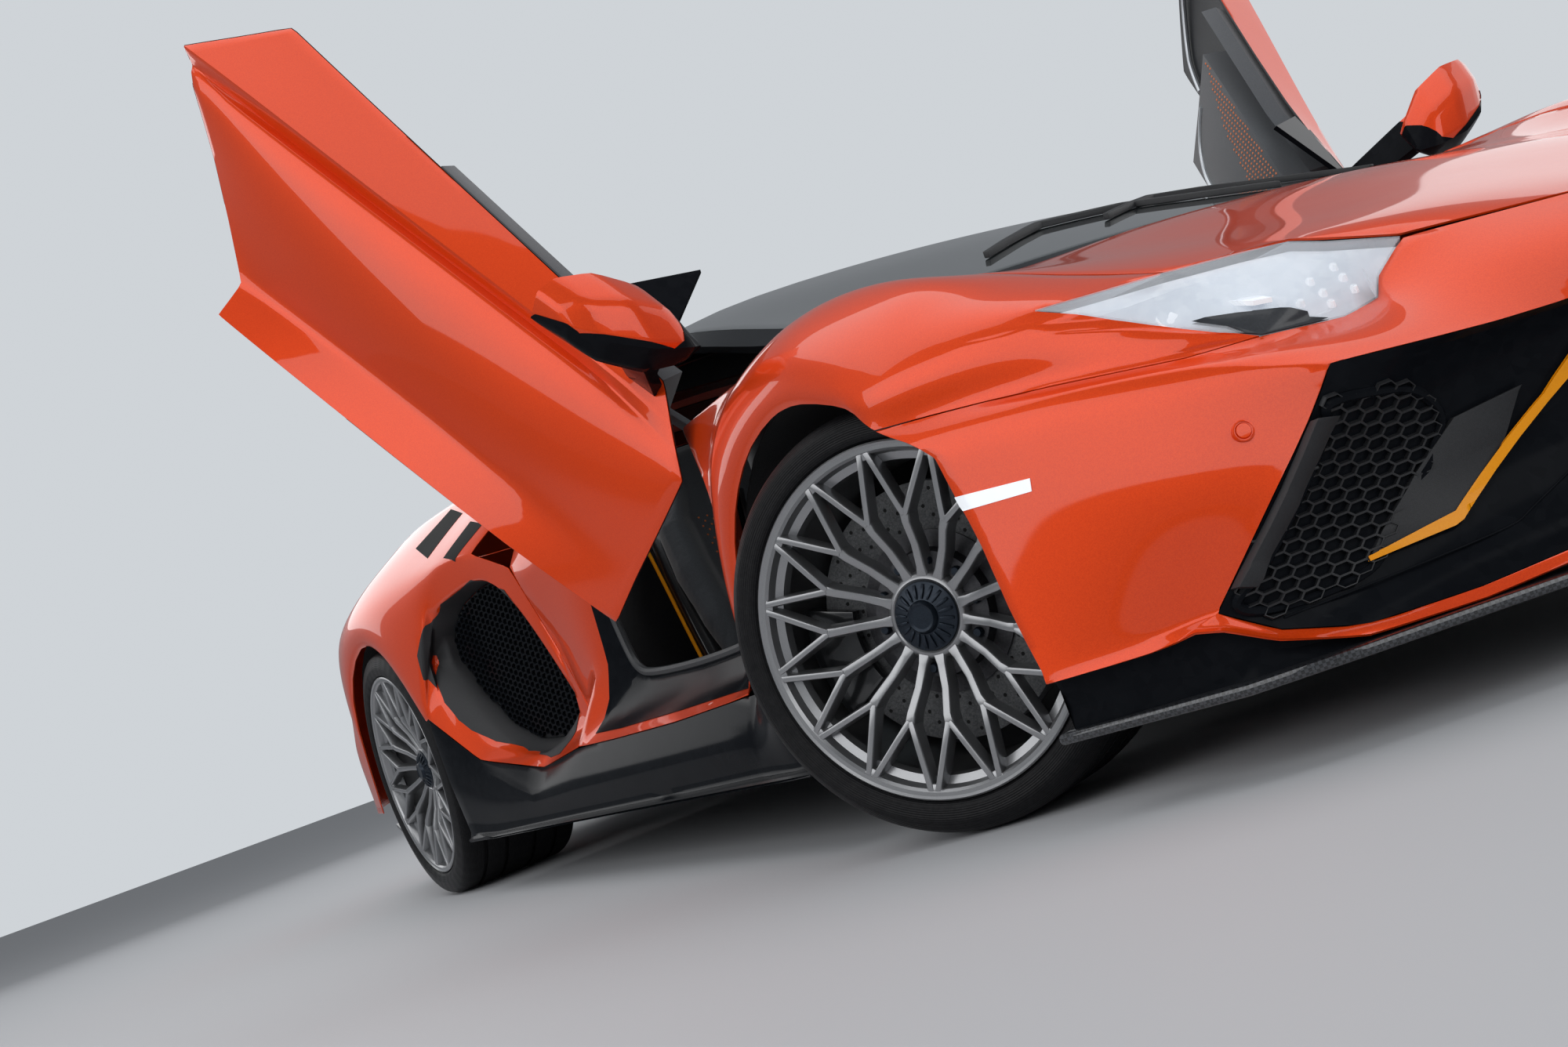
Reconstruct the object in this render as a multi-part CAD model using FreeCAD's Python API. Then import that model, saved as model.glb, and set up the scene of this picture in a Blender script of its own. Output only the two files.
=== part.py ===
import FreeCAD, Part
import os
from math import radians, sin, cos, pi

# A mid-engined two-seat supercar with upward-swinging doors.
# Millimetres. +X points out of the nose, +Y to the car's left, +Z up.
# The origin is on the ground at mid-length and mid-width.

os.makedirs("parts", exist_ok=True)
V = FreeCAD.Vector
ORIGIN = V(0, 0, 0)
X_AXIS = V(1, 0, 0)
Y_AXIS = V(0, 1, 0)
Z_AXIS = V(0, 0, 1)

# Driving dimensions of the whole car
front_axle_x = 1330.0
rear_axle_x = -1370.0
front_tyre_radius = 328.0
rear_tyre_radius = 353.0
front_arch_radius = front_tyre_radius + 57.0
front_arch_z = front_tyre_radius - 20.0
rear_arch_radius = rear_tyre_radius + 52.0
rear_arch_z = rear_tyre_radius - 28.0
front_half_width = 1000.0
rear_half_width = 1042.0
body_wall = 5.0
glass_wall = 5.0
roof_wall = 20.0
lamp_depth = 18.0
joint_gap = 0.3
lamp_gap = 1.4
shut_gap = 5.5
floor_z = 124.3
floor_thickness = 14.0
pad_height = 10.3

# Wheels and tyres
front_tyre_width = 255.0
rear_tyre_width = 345.0
front_rim_radius = front_tyre_radius - 56.0
rear_rim_radius = rear_tyre_radius - 68.0
front_face_y = front_half_width - 15.0
rear_face_y = rear_half_width - 17.0
spoke_count = 15
kingpin_y = front_face_y - 185.0
parked_steer = 29.6
axle_pin_radius = 22.0
axle_clearance = 0.06
disc_radius_front = front_rim_radius - 72.0
disc_radius_rear = rear_rim_radius - 95.0
disc_thickness = 36.0
spoke_thickness = 28.0

# Doors: the hinge line and how far the parked doors stand open
hinge_point = V(818, 860, 773)
hinge_tilt = 21.34
door_open = 58.65
door_pin_radius = 7.0
door_eye_radius = 14.0
arm_y = 836.0
arm_thickness = 14.0

# Lids
lid_gap = 6.5
front_lid_pivot = (1115, 813)
cover_pivot = (-475, 1100)
lid_pin_radius = 5.0
lid_eye_radius = 11.0
cover_pin_radius = 4.0
cover_eye_radius = 9.0
web_width = 12.0
hinge_clearance = 0.06


def mirrored(shape):
    return shape.mirror(ORIGIN, Y_AXIS)


def save(name, *shapes):
    shape = shapes[0]
    if len(shapes) > 1:
        shape = Part.makeCompound(list(shapes))
    shape.exportStep("parts/" + name + ".step")


def fuse(shapes):
    whole = shapes[0]
    for other in shapes[1:]:
        whole = whole.fuse(other)
    return whole.removeSplitter()


def box(x0, x1, y0, y1, z0, z1):
    return Part.makeBox(x1 - x0, y1 - y0, z1 - z0, V(x0, y0, z0))


def prism(points, along):
    # A straight-sided piece: a flat outline swept along one vector.
    wire = Part.makePolygon([V(*p) for p in points] + [V(*points[0])])
    return Part.Face(wire).extrude(along)


def rod(start, end, radius):
    start = V(*start)
    end = V(*end)
    return Part.makeCylinder(radius, (end - start).Length, start, end - start)


def turned(profile, centre, axis):
    # A turned piece: a closed (distance along the axis, radius) outline, revolved.
    wire = Part.makePolygon([V(r, 0, a) for a, r in profile] + [V(profile[0][1], 0, profile[0][0])])
    solid = Part.Face(wire).revolve(ORIGIN, Z_AXIS, 360)
    turn = FreeCAD.Rotation(Z_AXIS, V(*axis))
    solid.Placement = FreeCAD.Placement(V(*centre), turn)
    return solid


def both_sides(rows):
    # A grid from the centre line outwards becomes one from the right edge to the left edge.
    whole = []
    for row in rows:
        right = [(x, -y, z) for x, y, z in reversed(row) if y > 0]
        whole.append(right + list(row))
    return whole


# The body shell is one net of cells between feature lines. Panels that meet share their
# corners, so the whole shell is smoothed as one and its shut lines stay closed.
net_points = []
net_numbers = {}
net_cells = {}
sharp_edges = set()
fixed_corners = set()


def corner(p):
    key = (round(p[0], 2), round(p[1], 2), round(p[2], 2))
    if key not in net_numbers:
        net_numbers[key] = len(net_points)
        net_points.append(V(*p))
    return net_numbers[key]


def edge(a, b):
    return (min(a, b), max(a, b))


def net(name, grids, core, plain=False):
    # Each grid is a list of feature lines with matching points. The cells face away from
    # the core point. A plain net keeps its flat cells, and its corners stay where they are.
    cells = []
    for grid in grids:
        for low, high in zip(grid, grid[1:]):
            for k in range(len(low) - 1):
                cell = []
                for p in (low[k], low[k + 1], high[k + 1], high[k]):
                    if corner(p) not in cell:
                        cell.append(corner(p))
                if len(cell) > 2:
                    cells.append(tuple(cell))
    net_cells[name] = oriented(cells, net_points, V(*core))
    if plain:
        for cell in net_cells[name]:
            fixed_corners.update(cell)
            sharp_edges.update(edge(a, b) for a, b in zip(cell, cell[1:] + cell[:1]))


def flipped(line):
    return [(x, -y, z) for x, y, z in line]


def side_nets(name, grids, core, plain=False):
    # A panel with a twin on the right.
    net(name, grids, core, plain)
    right_grids = [[flipped(line) for line in grid] for grid in grids]
    net("right " + name, right_grids, (core[0], -core[1], core[2]), plain)


def crease(*lines):
    for line in lines:
        for row in (line, flipped(line)):
            sharp_edges.update(edge(corner(p), corner(q)) for p, q in zip(row, row[1:]))


def around(cells, sharp):
    # For each corner: its cells, its edges and which of those edges are creases or free.
    cells_at, edge_cells = {}, {}
    for cell in cells:
        for k, a in enumerate(cell):
            cells_at.setdefault(a, []).append(cell)
            edge_cells.setdefault(edge(a, cell[(k + 1) % len(cell)]), []).append(cell)
    edges_at, hard_at = {}, {}
    for (a, b), users in edge_cells.items():
        hard = len(users) != 2 or (a, b) in sharp
        for here, there in ((a, b), (b, a)):
            edges_at.setdefault(here, []).append(there)
            hard_at.setdefault(here, []).extend([there] if hard else [])
    return cells_at, edge_cells, edges_at, hard_at


def mean(points):
    total = V(0, 0, 0)
    for p in points:
        total += p
    return total * (1.0 / len(points))


def refined(points, cells, sharp, fixed):
    # One step of smooth subdivision: each cell becomes four.
    whole = list({frozenset(c): c for group in cells.values() for c in group}.values())
    cells_at, edge_cells, edges_at, hard_at = around(whole, sharp)
    fine = list(points)
    centre = {}
    for cell in whole:
        centre[frozenset(cell)] = len(fine)
        fine.append(mean([points[k] for k in cell]))
    middle = {}
    fine_sharp = set()
    for (a, b), users in edge_cells.items():
        ends = [points[a], points[b]]
        middle[(a, b)] = len(fine)
        if len(users) == 2 and (a, b) not in sharp:
            ends += [fine[centre[frozenset(c)]] for c in users]
        else:
            fine_sharp.update((edge(a, len(fine)), edge(b, len(fine))))
        fine.append(mean(ends))
    for k in cells_at:
        hard = hard_at.get(k, [])
        count = len(cells_at[k])
        if k in fixed or len(hard) > 2 or count == 1:
            continue
        if len(hard) == 2:
            fine[k] = points[k] * 0.75 + (points[hard[0]] + points[hard[1]]) * 0.125
        else:
            faces = mean([fine[centre[frozenset(c)]] for c in cells_at[k]])
            spokes = mean([(points[k] + points[j]) * 0.5 for j in edges_at[k]])
            fine[k] = (faces + spokes * 2 + points[k] * (count - 3)) * (1.0 / count)
    fine_cells = {}
    for name, group in cells.items():
        fine_cells[name] = []
        for cell in group:
            for k, a in enumerate(cell):
                after, before = cell[(k + 1) % len(cell)], cell[k - 1]
                fine_cells[name].append((a, middle[edge(a, after)], centre[frozenset(cell)],
                                         middle[edge(before, a)]))
    return fine, fine_cells, fine_sharp, middle


def settled(points, cells, sharp, fixed):
    # Where each corner of a refined net ends up on the finished smooth surface.
    whole = list({frozenset(c): c for group in cells.values() for c in group}.values())
    cells_at, edge_cells, edges_at, hard_at = around(whole, sharp)
    limit = list(points)
    for k in cells_at:
        hard = hard_at.get(k, [])
        n = len(cells_at[k])
        if k in fixed or len(hard) > 2 or n == 1:
            continue
        if len(hard) == 2:
            limit[k] = (points[k] * 4 + points[hard[0]] + points[hard[1]]) * (1 / 6.0)
        else:
            near = mean([points[j] for j in edges_at[k]]) * n
            far = mean([points[c[(c.index(k) + 2) % 4]] for c in cells_at[k]]) * n
            limit[k] = (points[k] * n * n + near * 4 + far) * (1.0 / (n * (n + 5)))
    return limit


def smooth_shell(rounds=3, share=0.8):
    # The net is eased outwards until the smooth surface passes close to the drawn corners,
    # then refined once. Gives the finished points and each panel's flat facets.
    smooth = {name: cells for name, cells in net_cells.items() if name not in plain_nets}
    cage = list(net_points)
    for _ in range(rounds):
        fine, fine_cells, fine_sharp, middle = refined(cage, smooth, sharp_edges, fixed_corners)
        limit = settled(fine, fine_cells, fine_sharp, fixed_corners)
        cage = [c + (p - q) * share for c, p, q in zip(cage, net_points, limit)]
    fine, fine_cells, fine_sharp, middle = refined(cage, smooth, sharp_edges, fixed_corners)
    limit = settled(fine, fine_cells, fine_sharp, fixed_corners)
    facets = {}
    for name, cells in list(fine_cells.items()) + [(name, net_cells[name]) for name in plain_nets]:
        facets[name] = []
        for cell in cells:
            facets[name].append(cell[:3])
            if len(cell) == 4:
                facets[name].append((cell[0], cell[2], cell[3]))
    return limit, facets, middle


def shell_normals(points, facets, middle):
    normals = [V(0, 0, 0) for _ in points]
    for a, b, c in {frozenset(t): t for group in facets.values() for t in group}.values():
        normal = (points[b] - points[a]).cross(points[c] - points[a])
        for k in (a, b, c):
            normals[k] += normal
    for n in normals:
        if n.Length > 0:
            n.normalize()
    # Along a seam with a plain net, the middle of an edge faces as its ends do.
    for name in plain_nets:
        for cell in net_cells[name]:
            for a, b in zip(cell, cell[1:] + cell[:1]):
                if edge(a, b) in middle:
                    between = normals[a] + normals[b]
                    between.normalize()
                    normals[middle[edge(a, b)]] = between
    return normals


def pressed(name, wall, inset=joint_gap / 2, depth=0.0):
    # A pressed skin. The sheet thickness goes inwards from its outer surface, and the free
    # edges are drawn back by the inset. A depth starts the skin that far inside.
    facets = shell_facets[name]
    edge_use = {}
    for tri in facets:
        for k in range(3):
            edge_use[(tri[k], tri[(k + 1) % 3])] = tri
    rim = [e for e in edge_use if (e[1], e[0]) not in edge_use]
    # Draw the free edges back within the surface.
    pulls = {}
    for a, b in rim:
        tri = [shell_points[k] for k in edge_use[(a, b)]]
        inward = (tri[1] - tri[0]).cross(tri[2] - tri[0]).cross(shell_points[b] - shell_points[a])
        inward.normalize()
        pulls.setdefault(a, []).append(inward)
        pulls.setdefault(b, []).append(inward)
    used = sorted({k for tri in facets for k in tri})
    place = {k: j for j, k in enumerate(used)}
    outer = []
    for k in used:
        p = shell_points[k] - shell_facing[k] * depth
        if k in pulls:
            total = mean(pulls[k])
            total.normalize()
            p = p + total * (inset / max(0.5, total.dot(pulls[k][0])))
        outer.append(p)
    inner = [p - shell_facing[k] * wall for p, k in zip(outer, used)]
    shift = len(used)
    closed = [tuple(place[k] for k in tri) for tri in facets]
    closed += [(a + shift, c + shift, b + shift) for a, b, c in closed]

    def rank(k):
        p = shell_points[k]
        return p.x + 1.7 * abs(p.y) + 2.3 * p.z

    for a, b in rim:
        # The same diagonal on both sheets of a seam
        i, j = place[a], place[b]
        if rank(a) < rank(b):
            closed += [(j, i, j + shift), (i, i + shift, j + shift)]
        else:
            closed += [(j, i, i + shift), (j, i + shift, j + shift)]
    return faceted_solid(outer + inner, closed)


def faceted_loft(sections):
    # A solid through closed outlines with matching points, capped at both ends.
    count = len(sections[0])
    points = [V(*p) for section in sections for p in section]
    facets = []
    for s in range(len(sections) - 1):
        for k in range(count):
            a, b = s * count + k, s * count + (k + 1) % count
            facets += [(a, b, b + count), (a, b + count, a + count)]
    last = (len(sections) - 1) * count
    for k in range(1, count - 1):
        facets += [(0, k + 1, k), (last, last + k, last + k + 1)]
    return faceted_solid(points, facets)


def oriented(facets, points, core):
    # Turn the facets to one sense, then outwards as seen from the core point.
    neighbours = {}
    for k, cell in enumerate(facets):
        for a, b in zip(cell, cell[1:] + cell[:1]):
            neighbours.setdefault(edge(a, b), []).append(k)
    done = {0}
    queue = [0]
    facets = list(facets)
    while queue:
        k = queue.pop()
        cell = facets[k]
        for a, b in zip(cell, cell[1:] + cell[:1]):
            for other in neighbours[edge(a, b)]:
                if other in done:
                    continue
                t = facets[other]
                if (a, b) in zip(t, t[1:] + t[:1]):
                    facets[other] = t[::-1]
                done.add(other)
                queue.append(other)
    if len(done) != len(facets):
        raise ValueError("a panel's grids don't join")
    outward = 0.0
    for cell in facets:
        a, b, c = [points[k] for k in cell[:3]]
        outward += (b - a).cross(c - a).dot(mean([a, b, c]) - core)
    if outward < 0:
        facets = [cell[::-1] for cell in facets]
    return facets


def faceted_solid(points, facets):
    shape = Part.Shape()
    shape.makeShapeFromMesh(([tuple(p) for p in points], facets), 0.005)
    solid = Part.makeSolid(shape)
    if solid.Volume < 0:
        solid.reverse()
    return solid


def arch_point(centre_x, centre_z, radius, angle, y):
    return (centre_x + radius * cos(radians(angle)), y, centre_z + radius * sin(radians(angle)))


# Corners that several panels share, on the left side
lamp_rear_tip = (1825, 848, 666)
lamp_top_mid = (1922, 720, 651)
lamp_top_corner = (1991, 560, 640)
lamp_front_top = (2065, 460, 591)
lamp_front_low = (2062, 510, 522)
lamp_bottom = (2038, 700, 524)
arch_seam = (1566, 1000, 600)
nose_corner = (2130, 700, 460)
fascia_low_corner = (1951, 850, 216)
door_front_top = (838, 926, 679)
door_front_low = (806, 952, 291)
belt_front = (700, 866, 797)
cowl_corner = (1090, 765, 842)

# Front wings: the skin over each front wheel, from the door to the headlamp.
# Columns run round the arch; rows go from the arch edge to the front lid.
wing_columns = [
    # arch angle, flare (x, y, z), shoulder, crest, inner edge
    (183, (925, 1003, 290), (890, 990, 290), (850, 972, 290), door_front_low),
    (162, (938, 1004, 440), (905, 992, 452), (868, 972, 450), (822, 944, 440)),
    (142, (1000, 1004, 580), (960, 988, 612), (905, 958, 625), (838, 930, 590)),
    (126, (1075, 1004, 655), (1020, 982, 705), (945, 935, 725), door_front_top),
    (110, (1170, 1003, 706), (1115, 968, 770), (1010, 905, 790), belt_front),
    (95, (1285, 1003, 730), (1245, 958, 802), (1190, 868, 838), cowl_corner),
    (88, (1343, 1003, 731), (1322, 957, 803), (1285, 860, 842), (1150, 765, 838)),
    (80, (1410, 1002, 724), (1405, 955, 795), (1400, 850, 838), (1400, 765, 822)),
    (66, (1508, 1000, 690), (1550, 948, 752), (1590, 858, 790), (1600, 765, 772)),
    (58, (1540, 1000, 658), (1592, 967, 700), (1650, 902, 735), (1762, 742, 712)),
]
wing_rows = [[], [], [], [], []]
for angle, flare, shoulder, crest, inner in wing_columns:
    wing_rows[0].append(arch_point(front_axle_x, front_arch_z, front_arch_radius, angle, front_half_width))
    for row, point in zip(wing_rows[1:], (flare, shoulder, crest, inner)):
        row.append(point)
last_column = (arch_seam, (1625, 985, 635), (1700, 935, 672), lamp_rear_tip, lamp_top_mid)
for row, point in zip(wing_rows, last_column):
    row.append(point)
lamp_low_third = (1899, 800, 612)
wing_nose = [
    [arch_seam, (1735, 925, 577), (1895, 830, 548), lamp_bottom],
    [(1625, 985, 635), (1790, 892, 602), (1930, 800, 566), lamp_bottom],
    [(1700, 935, 672), (1835, 860, 632), (1945, 775, 580), lamp_bottom],
    [lamp_rear_tip, lamp_low_third, (1968, 750, 567), lamp_bottom],
]
side_nets("front_wings", [wing_rows, wing_nose], (1400, 300, 300))

# Front bumper cover: the painted nose between the wings, lamps, lid and black fascia,
# with the painted lip that runs under the fascia.
nose_seam = [(2245, 0, 560), (2190, 250, 568), lamp_front_top, lamp_front_low, lamp_bottom]
nose_seam += [(1895, 830, 548), (1735, 925, 577), arch_seam]
nose_mid = [(2318, 0, 508), (2268, 250, 510), (2160, 445, 522), (2130, 560, 488), (2090, 705, 493)]
nose_mid += [(1945, 828, 532), (1800, 918, 556), (1625, 992, 566)]
nose_crease = [(2352, 0, 440), (2312, 250, 437), (2236, 420, 436), (2186, 570, 446), nose_corner]
nose_crease += [(1990, 812, 490), (1850, 905, 510), (1668, 985, 530)]
cheek_upper = [nose_corner, (1990, 812, 490), (1850, 905, 510), (1668, 985, 530)]
cheek_second = [(2098, 733, 403), (1978, 832, 425), (1850, 913, 445), (1684, 985, 464)]
cheek_mid = [(2058, 778, 342), (1965, 850, 360), (1850, 920, 380), (1702, 985, 398)]
cheek_fourth = [(1998, 822, 268), (1925, 872, 286), (1845, 930, 295), (1720, 990, 306)]
cheek_low = [fascia_low_corner, (1900, 885, 214), (1840, 935, 212), (1745, 992, 214)]
cheek_turn = [(1960, 858, 198), (1905, 892, 196), (1842, 940, 195), (1747, 994, 196)]
lip_top = [fascia_low_corner, (2045, 720, 141), (2215, 460, 153), (2312, 250, 160), (2385, 0, 165)]
lip_low = [(1960, 858, 198), (2052, 728, 127), (2223, 465, 139), (2320, 252, 146), (2393, 0, 150)]
cheek_rows = [cheek_upper, cheek_second, cheek_mid, cheek_fourth, cheek_low, cheek_turn]
net("front_bumper",
    [both_sides([nose_seam, nose_mid, nose_crease]), cheek_rows, [flipped(row) for row in cheek_rows],
     both_sides([lip_top[::-1], lip_low[::-1]])], (1500, 0, 350))
crease(nose_crease, cheek_low, lip_top, [row[0] for row in cheek_rows[:5]])

# Black fascia: the recessed intake surround in the nose.
fascia_rows = [
    [(2352, 0, 440), (2312, 250, 437), (2236, 420, 436), (2186, 570, 446), nose_corner],
    [(2300, 0, 405), (2262, 250, 402), (2180, 425, 400), (2120, 580, 402), (2098, 733, 403)],
    [(2262, 0, 300), (2222, 250, 298), (2130, 440, 296), (2050, 610, 300), (2058, 778, 342)],
    [(2330, 0, 205), (2262, 250, 200), (2165, 452, 192), (2035, 665, 190), (1998, 822, 268)],
    [(2385, 0, 165), (2312, 250, 160), (2215, 460, 153), (2045, 720, 141), fascia_low_corner],
]
net("front_fascia", [both_sides(fascia_rows)], (1500, 0, 300))

# Headlamps: a clear-fronted unit in each front corner.
lamp_grid = [
    [lamp_rear_tip, lamp_top_mid, lamp_top_corner, lamp_front_top],
    [lamp_low_third, (1965, 705, 622), (2035, 560, 600), lamp_front_top],
    [(1968, 750, 567), (2010, 690, 575), (2060, 540, 560), lamp_front_low],
    [lamp_bottom, lamp_bottom, lamp_bottom, lamp_front_low],
]
side_nets("headlamps", [lamp_grid], (1700, 500, 300))

# Front luggage lid, hinged at its rear edge.
lid_rows = [
    [(2245, 0, 560), (2190, 250, 568), (2125, 360, 580), lamp_front_top],
    [(2140, 0, 592), (2110, 240, 600), (2050, 380, 618), lamp_top_corner],
    [(2000, 0, 640), (1985, 230, 648), (1955, 420, 655), lamp_top_mid],
    [(1780, 0, 716), (1770, 220, 716), (1760, 480, 704), (1762, 742, 712)],
    [(1600, 0, 768), (1600, 210, 766), (1600, 500, 745), (1600, 765, 772)],
    [(1400, 0, 812), (1400, 210, 812), (1400, 520, 795), (1400, 765, 822)],
    [(1330, 0, 826), (1300, 220, 830), (1240, 520, 818), (1150, 765, 838)],
]
net("front_lid", [both_sides(lid_rows)], (1600, 0, 200))

# Cowl: the gloss black panel between the lid and the windscreen.
screen_base = [(1266, 0, 834.5), (1236, 240, 838.5), (1178, 505, 838.5), (1093, 732, 842.5)]
cowl_rows = [
    [(1330, 0, 818), (1300, 220, 822), (1240, 520, 810), (1155, 734, 826)],
    screen_base,
]
net("cowl", [both_sides(cowl_rows)], (1200, 0, 300))

# Windscreen glass and the roof with its two windscreen pillars.
glass_rows = [
    screen_base,
    [(1000, 0, 916), (980, 235, 917), (925, 480, 913), (850, 690, 905)],
    [(730, 0, 996), (715, 228, 996), (670, 460, 988), (600, 640, 970)],
    [(450, 0, 1064), (438, 220, 1062), (405, 435, 1052), (350, 592, 1030)],
    [(180, 0, 1118), (172, 215, 1114), (150, 420, 1101), (110, 550, 1078)],
]
net("windscreen", [both_sides(glass_rows)], (600, 0, 300))

roof_rows = [
    [(180, 0, 1118), (172, 215, 1114), (150, 420, 1101), (110, 550, 1078), (80, 592, 1060)],
    [(20, 0, 1130), (15, 215, 1125), (5, 430, 1109), (-20, 565, 1084), (-30, 605, 1062)],
    [(-200, 0, 1136), (-200, 215, 1130), (-205, 435, 1112), (-210, 570, 1084), (-215, 612, 1058)],
    [(-430, 0, 1128), (-430, 210, 1122), (-430, 430, 1102), (-430, 570, 1070), (-430, 618, 1042)],
]
pillar_rows = [
    [(1093, 732, 842.5), (850, 690, 905), (600, 640, 970), (350, 592, 1030), (110, 550, 1078)],
    [(1040, 762, 836), (810, 725, 890), (575, 678, 950), (335, 632, 1008), (80, 592, 1060)],
]
net("roof", [both_sides(roof_rows), pillar_rows, [flipped(row) for row in pillar_rows]], (0, 0, 300))
crease(pillar_rows[0], [row[3] for row in roof_rows])

# Sides of the body: the painted sill, hinge post and lock post round each door opening.
# Columns run round the opening; rows go from the seal outwards.
side_seal = [(742, 822, 652), (752, 838, 560), (752, 850, 420), (700, 850, 376), (400, 848, 372)]
side_seal += [(110, 846, 386), (50, 846, 405), (20, 846, 450), (-2, 848, 615), (5, 842, 765)]
side_seal += [(-25, 742, 872)]
side_mid = [(780, 862, 652), (785, 885, 560), (785, 895, 400), (745, 900, 320), (400, 900, 315)]
side_mid += [(60, 902, 318), (-60, 896, 340), (-100, 885, 430), (-120, 880, 615), (-140, 868, 765)]
side_mid += [(-200, 765, 878)]
side_out = [(798, 892, 652), (797, 905, 560), (793, 925, 400), (770, 952, 292), (400, 955, 284)]
side_out += [(60, 955, 286), (-185, 955, 290), (-215, 880, 335), (-345, 862, 520), (-432, 882, 745)]
side_out += [(-445, 775, 875)]
side_nets("side_frames", [[side_seal, side_mid, side_out]], (100, 300, 560), plain=True)

# Rockers: the gloss black side skirts with their fins.
rocker_columns = [
    # top edge, side, lower side, fin edge, floor edge
    (wing_rows[0][0], (955, 996, 215), (970, 985, 155), (1005, 1006, 136), (1000, 860, 124)),
    ((925, 1003, 290), (925, 998, 215), (930, 985, 152), (930, 1010, 136), (930, 860, 124)),
    ((890, 990, 290), (890, 994, 215), (890, 983, 152), (890, 1010, 136), (890, 860, 124)),
    ((850, 972, 290), (850, 990, 215), (850, 981, 152), (850, 1010, 136), (850, 860, 124)),
    ((806, 952, 291), (806, 987, 215), (806, 980, 152), (806, 1010, 136), (806, 860, 124)),
    ((770, 952, 292), (770, 986, 215), (770, 978, 152), (770, 1010, 136), (770, 860, 124)),
    ((400, 955, 284), (400, 990, 215), (400, 980, 150), (400, 1012, 136), (400, 860, 124)),
    ((60, 955, 286), (60, 995, 215), (60, 985, 150), (60, 1015, 136), (60, 860, 124)),
    ((-185, 955, 290), (-185, 1000, 215), (-185, 990, 150), (-185, 1020, 136), (-185, 860, 124)),
    ((-455, 955, 268), (-455, 1005, 212), (-455, 1000, 150), (-455, 1026, 136), (-455, 860, 124)),
    ((-775, 1000, 332), (-775, 1025, 240), (-775, 1015, 150), (-775, 1036, 136), (-775, 860, 124)),
    ((-975, 1037, 476), (-966, 1040, 300), (-966, 1030, 160), (-972, 1042, 138), (-950, 880, 124)),
]
side_nets("rockers", [list(zip(*rocker_columns))], (0, 300, 250), plain=True)

# Rear wings: the skin over each rear wheel, with the framed opening of the side intake.
intake_hole = [(-300, 865, 365), (-375, 872, 500), (-490, 890, 700), (-640, 910, 760), (-825, 950, 740)]
intake_hole += [(-900, 963, 700), (-965, 975, 612), (-740, 940, 360), (-470, 905, 295)]
intake_inner = [(-330, 830, 375), (-400, 835, 500), (-510, 845, 690), (-645, 862, 740), (-815, 890, 722)]
intake_inner += [(-880, 902, 685), (-932, 910, 602), (-735, 885, 378), (-485, 860, 318)]
intake_frame = [(-215, 880, 335), (-345, 862, 520), (-432, 882, 745), (-600, 905, 818), (-862, 962, 808)]
intake_frame += [(-925, 1004, 660), (-975, 1037, 476), (-775, 1000, 332), (-455, 955, 268)]
sill_corner = (-185, 955, 290)
rear_columns = [
    # arch angle, flare (x, y, z), haunch, shoulder, crest, buttress top, deck seam
    (21, (-975, 1037, 476), (-925, 1004, 660), (-862, 962, 808), (-845, 925, 855), (-845, 725, 995),
     (-850, 600, 985)),
    (62, (-1150, 1046, 700), (-1130, 1034, 768), (-1110, 1000, 830), (-1080, 900, 908), (-1080, 738, 1014),
     (-1080, 590, 990)),
    (91, (-1375, 1047, 762), (-1372, 1038, 806), (-1370, 1010, 850), (-1365, 925, 922), (-1365, 752, 1020),
     (-1365, 580, 985)),
    (122, (-1600, 1045, 705), (-1620, 1036, 762), (-1640, 1005, 818), (-1640, 935, 888), (-1640, 765, 1005),
     (-1640, 575, 968)),
    (150, (-1755, 1040, 540), (-1818, 1022, 655), (-1880, 985, 770), (-1900, 925, 850), (-1900, 765, 968),
     (-1900, 575, 940)),
    (188, (-1795, 1030, 270), (-1978, 974, 506), (-2120, 930, 690), (-2150, 890, 790), (-2150, 750, 905),
     (-2150, 575, 900)),
]
rear_rows = [[], [], [], [], [], [], []]
for angle, flare, haunch, shoulder, crest, top, seam in rear_columns:
    lip_y = rear_half_width - 4
    rear_rows[0].append(arch_point(rear_axle_x, rear_arch_z, rear_arch_radius, angle, lip_y))
    for row, point in zip(rear_rows[1:], (flare, haunch, shoulder, crest, top, seam)):
        row.append(point)
ring = [intake_inner + intake_inner[:1], intake_hole + intake_hole[:1], intake_frame + intake_frame[:1]]
rear_sill = [[(-215, 880, 335), sill_corner], [(-215, 880, 335), (-455, 955, 268)]]
rear_front = [
    [(-600, 905, 818), (-600, 905, 818), (-862, 962, 808)],
    [(-476, 790, 910), (-620, 868, 872), (-845, 925, 855)],
    [(-450, 700, 990), (-620, 705, 1008), (-845, 725, 995)],
    [(-436, 625, 1040), (-620, 618, 1012), (-850, 600, 985)],
]
side_nets("rear_wings", [ring, rear_rows, rear_front, rear_sill], (-1200, 300, 300))
crease(ring[1], ring[2], rear_rows[-2], rear_rows[-1], [row[-1] for row in rear_rows])
# The opening keeps a crisp corner at its top, its front foot, its rear end and its low front.
for k in (0, 3, 6, 8):
    fixed_corners.update((corner(ring[1][k]), corner(flipped(ring[1])[k])))

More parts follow.
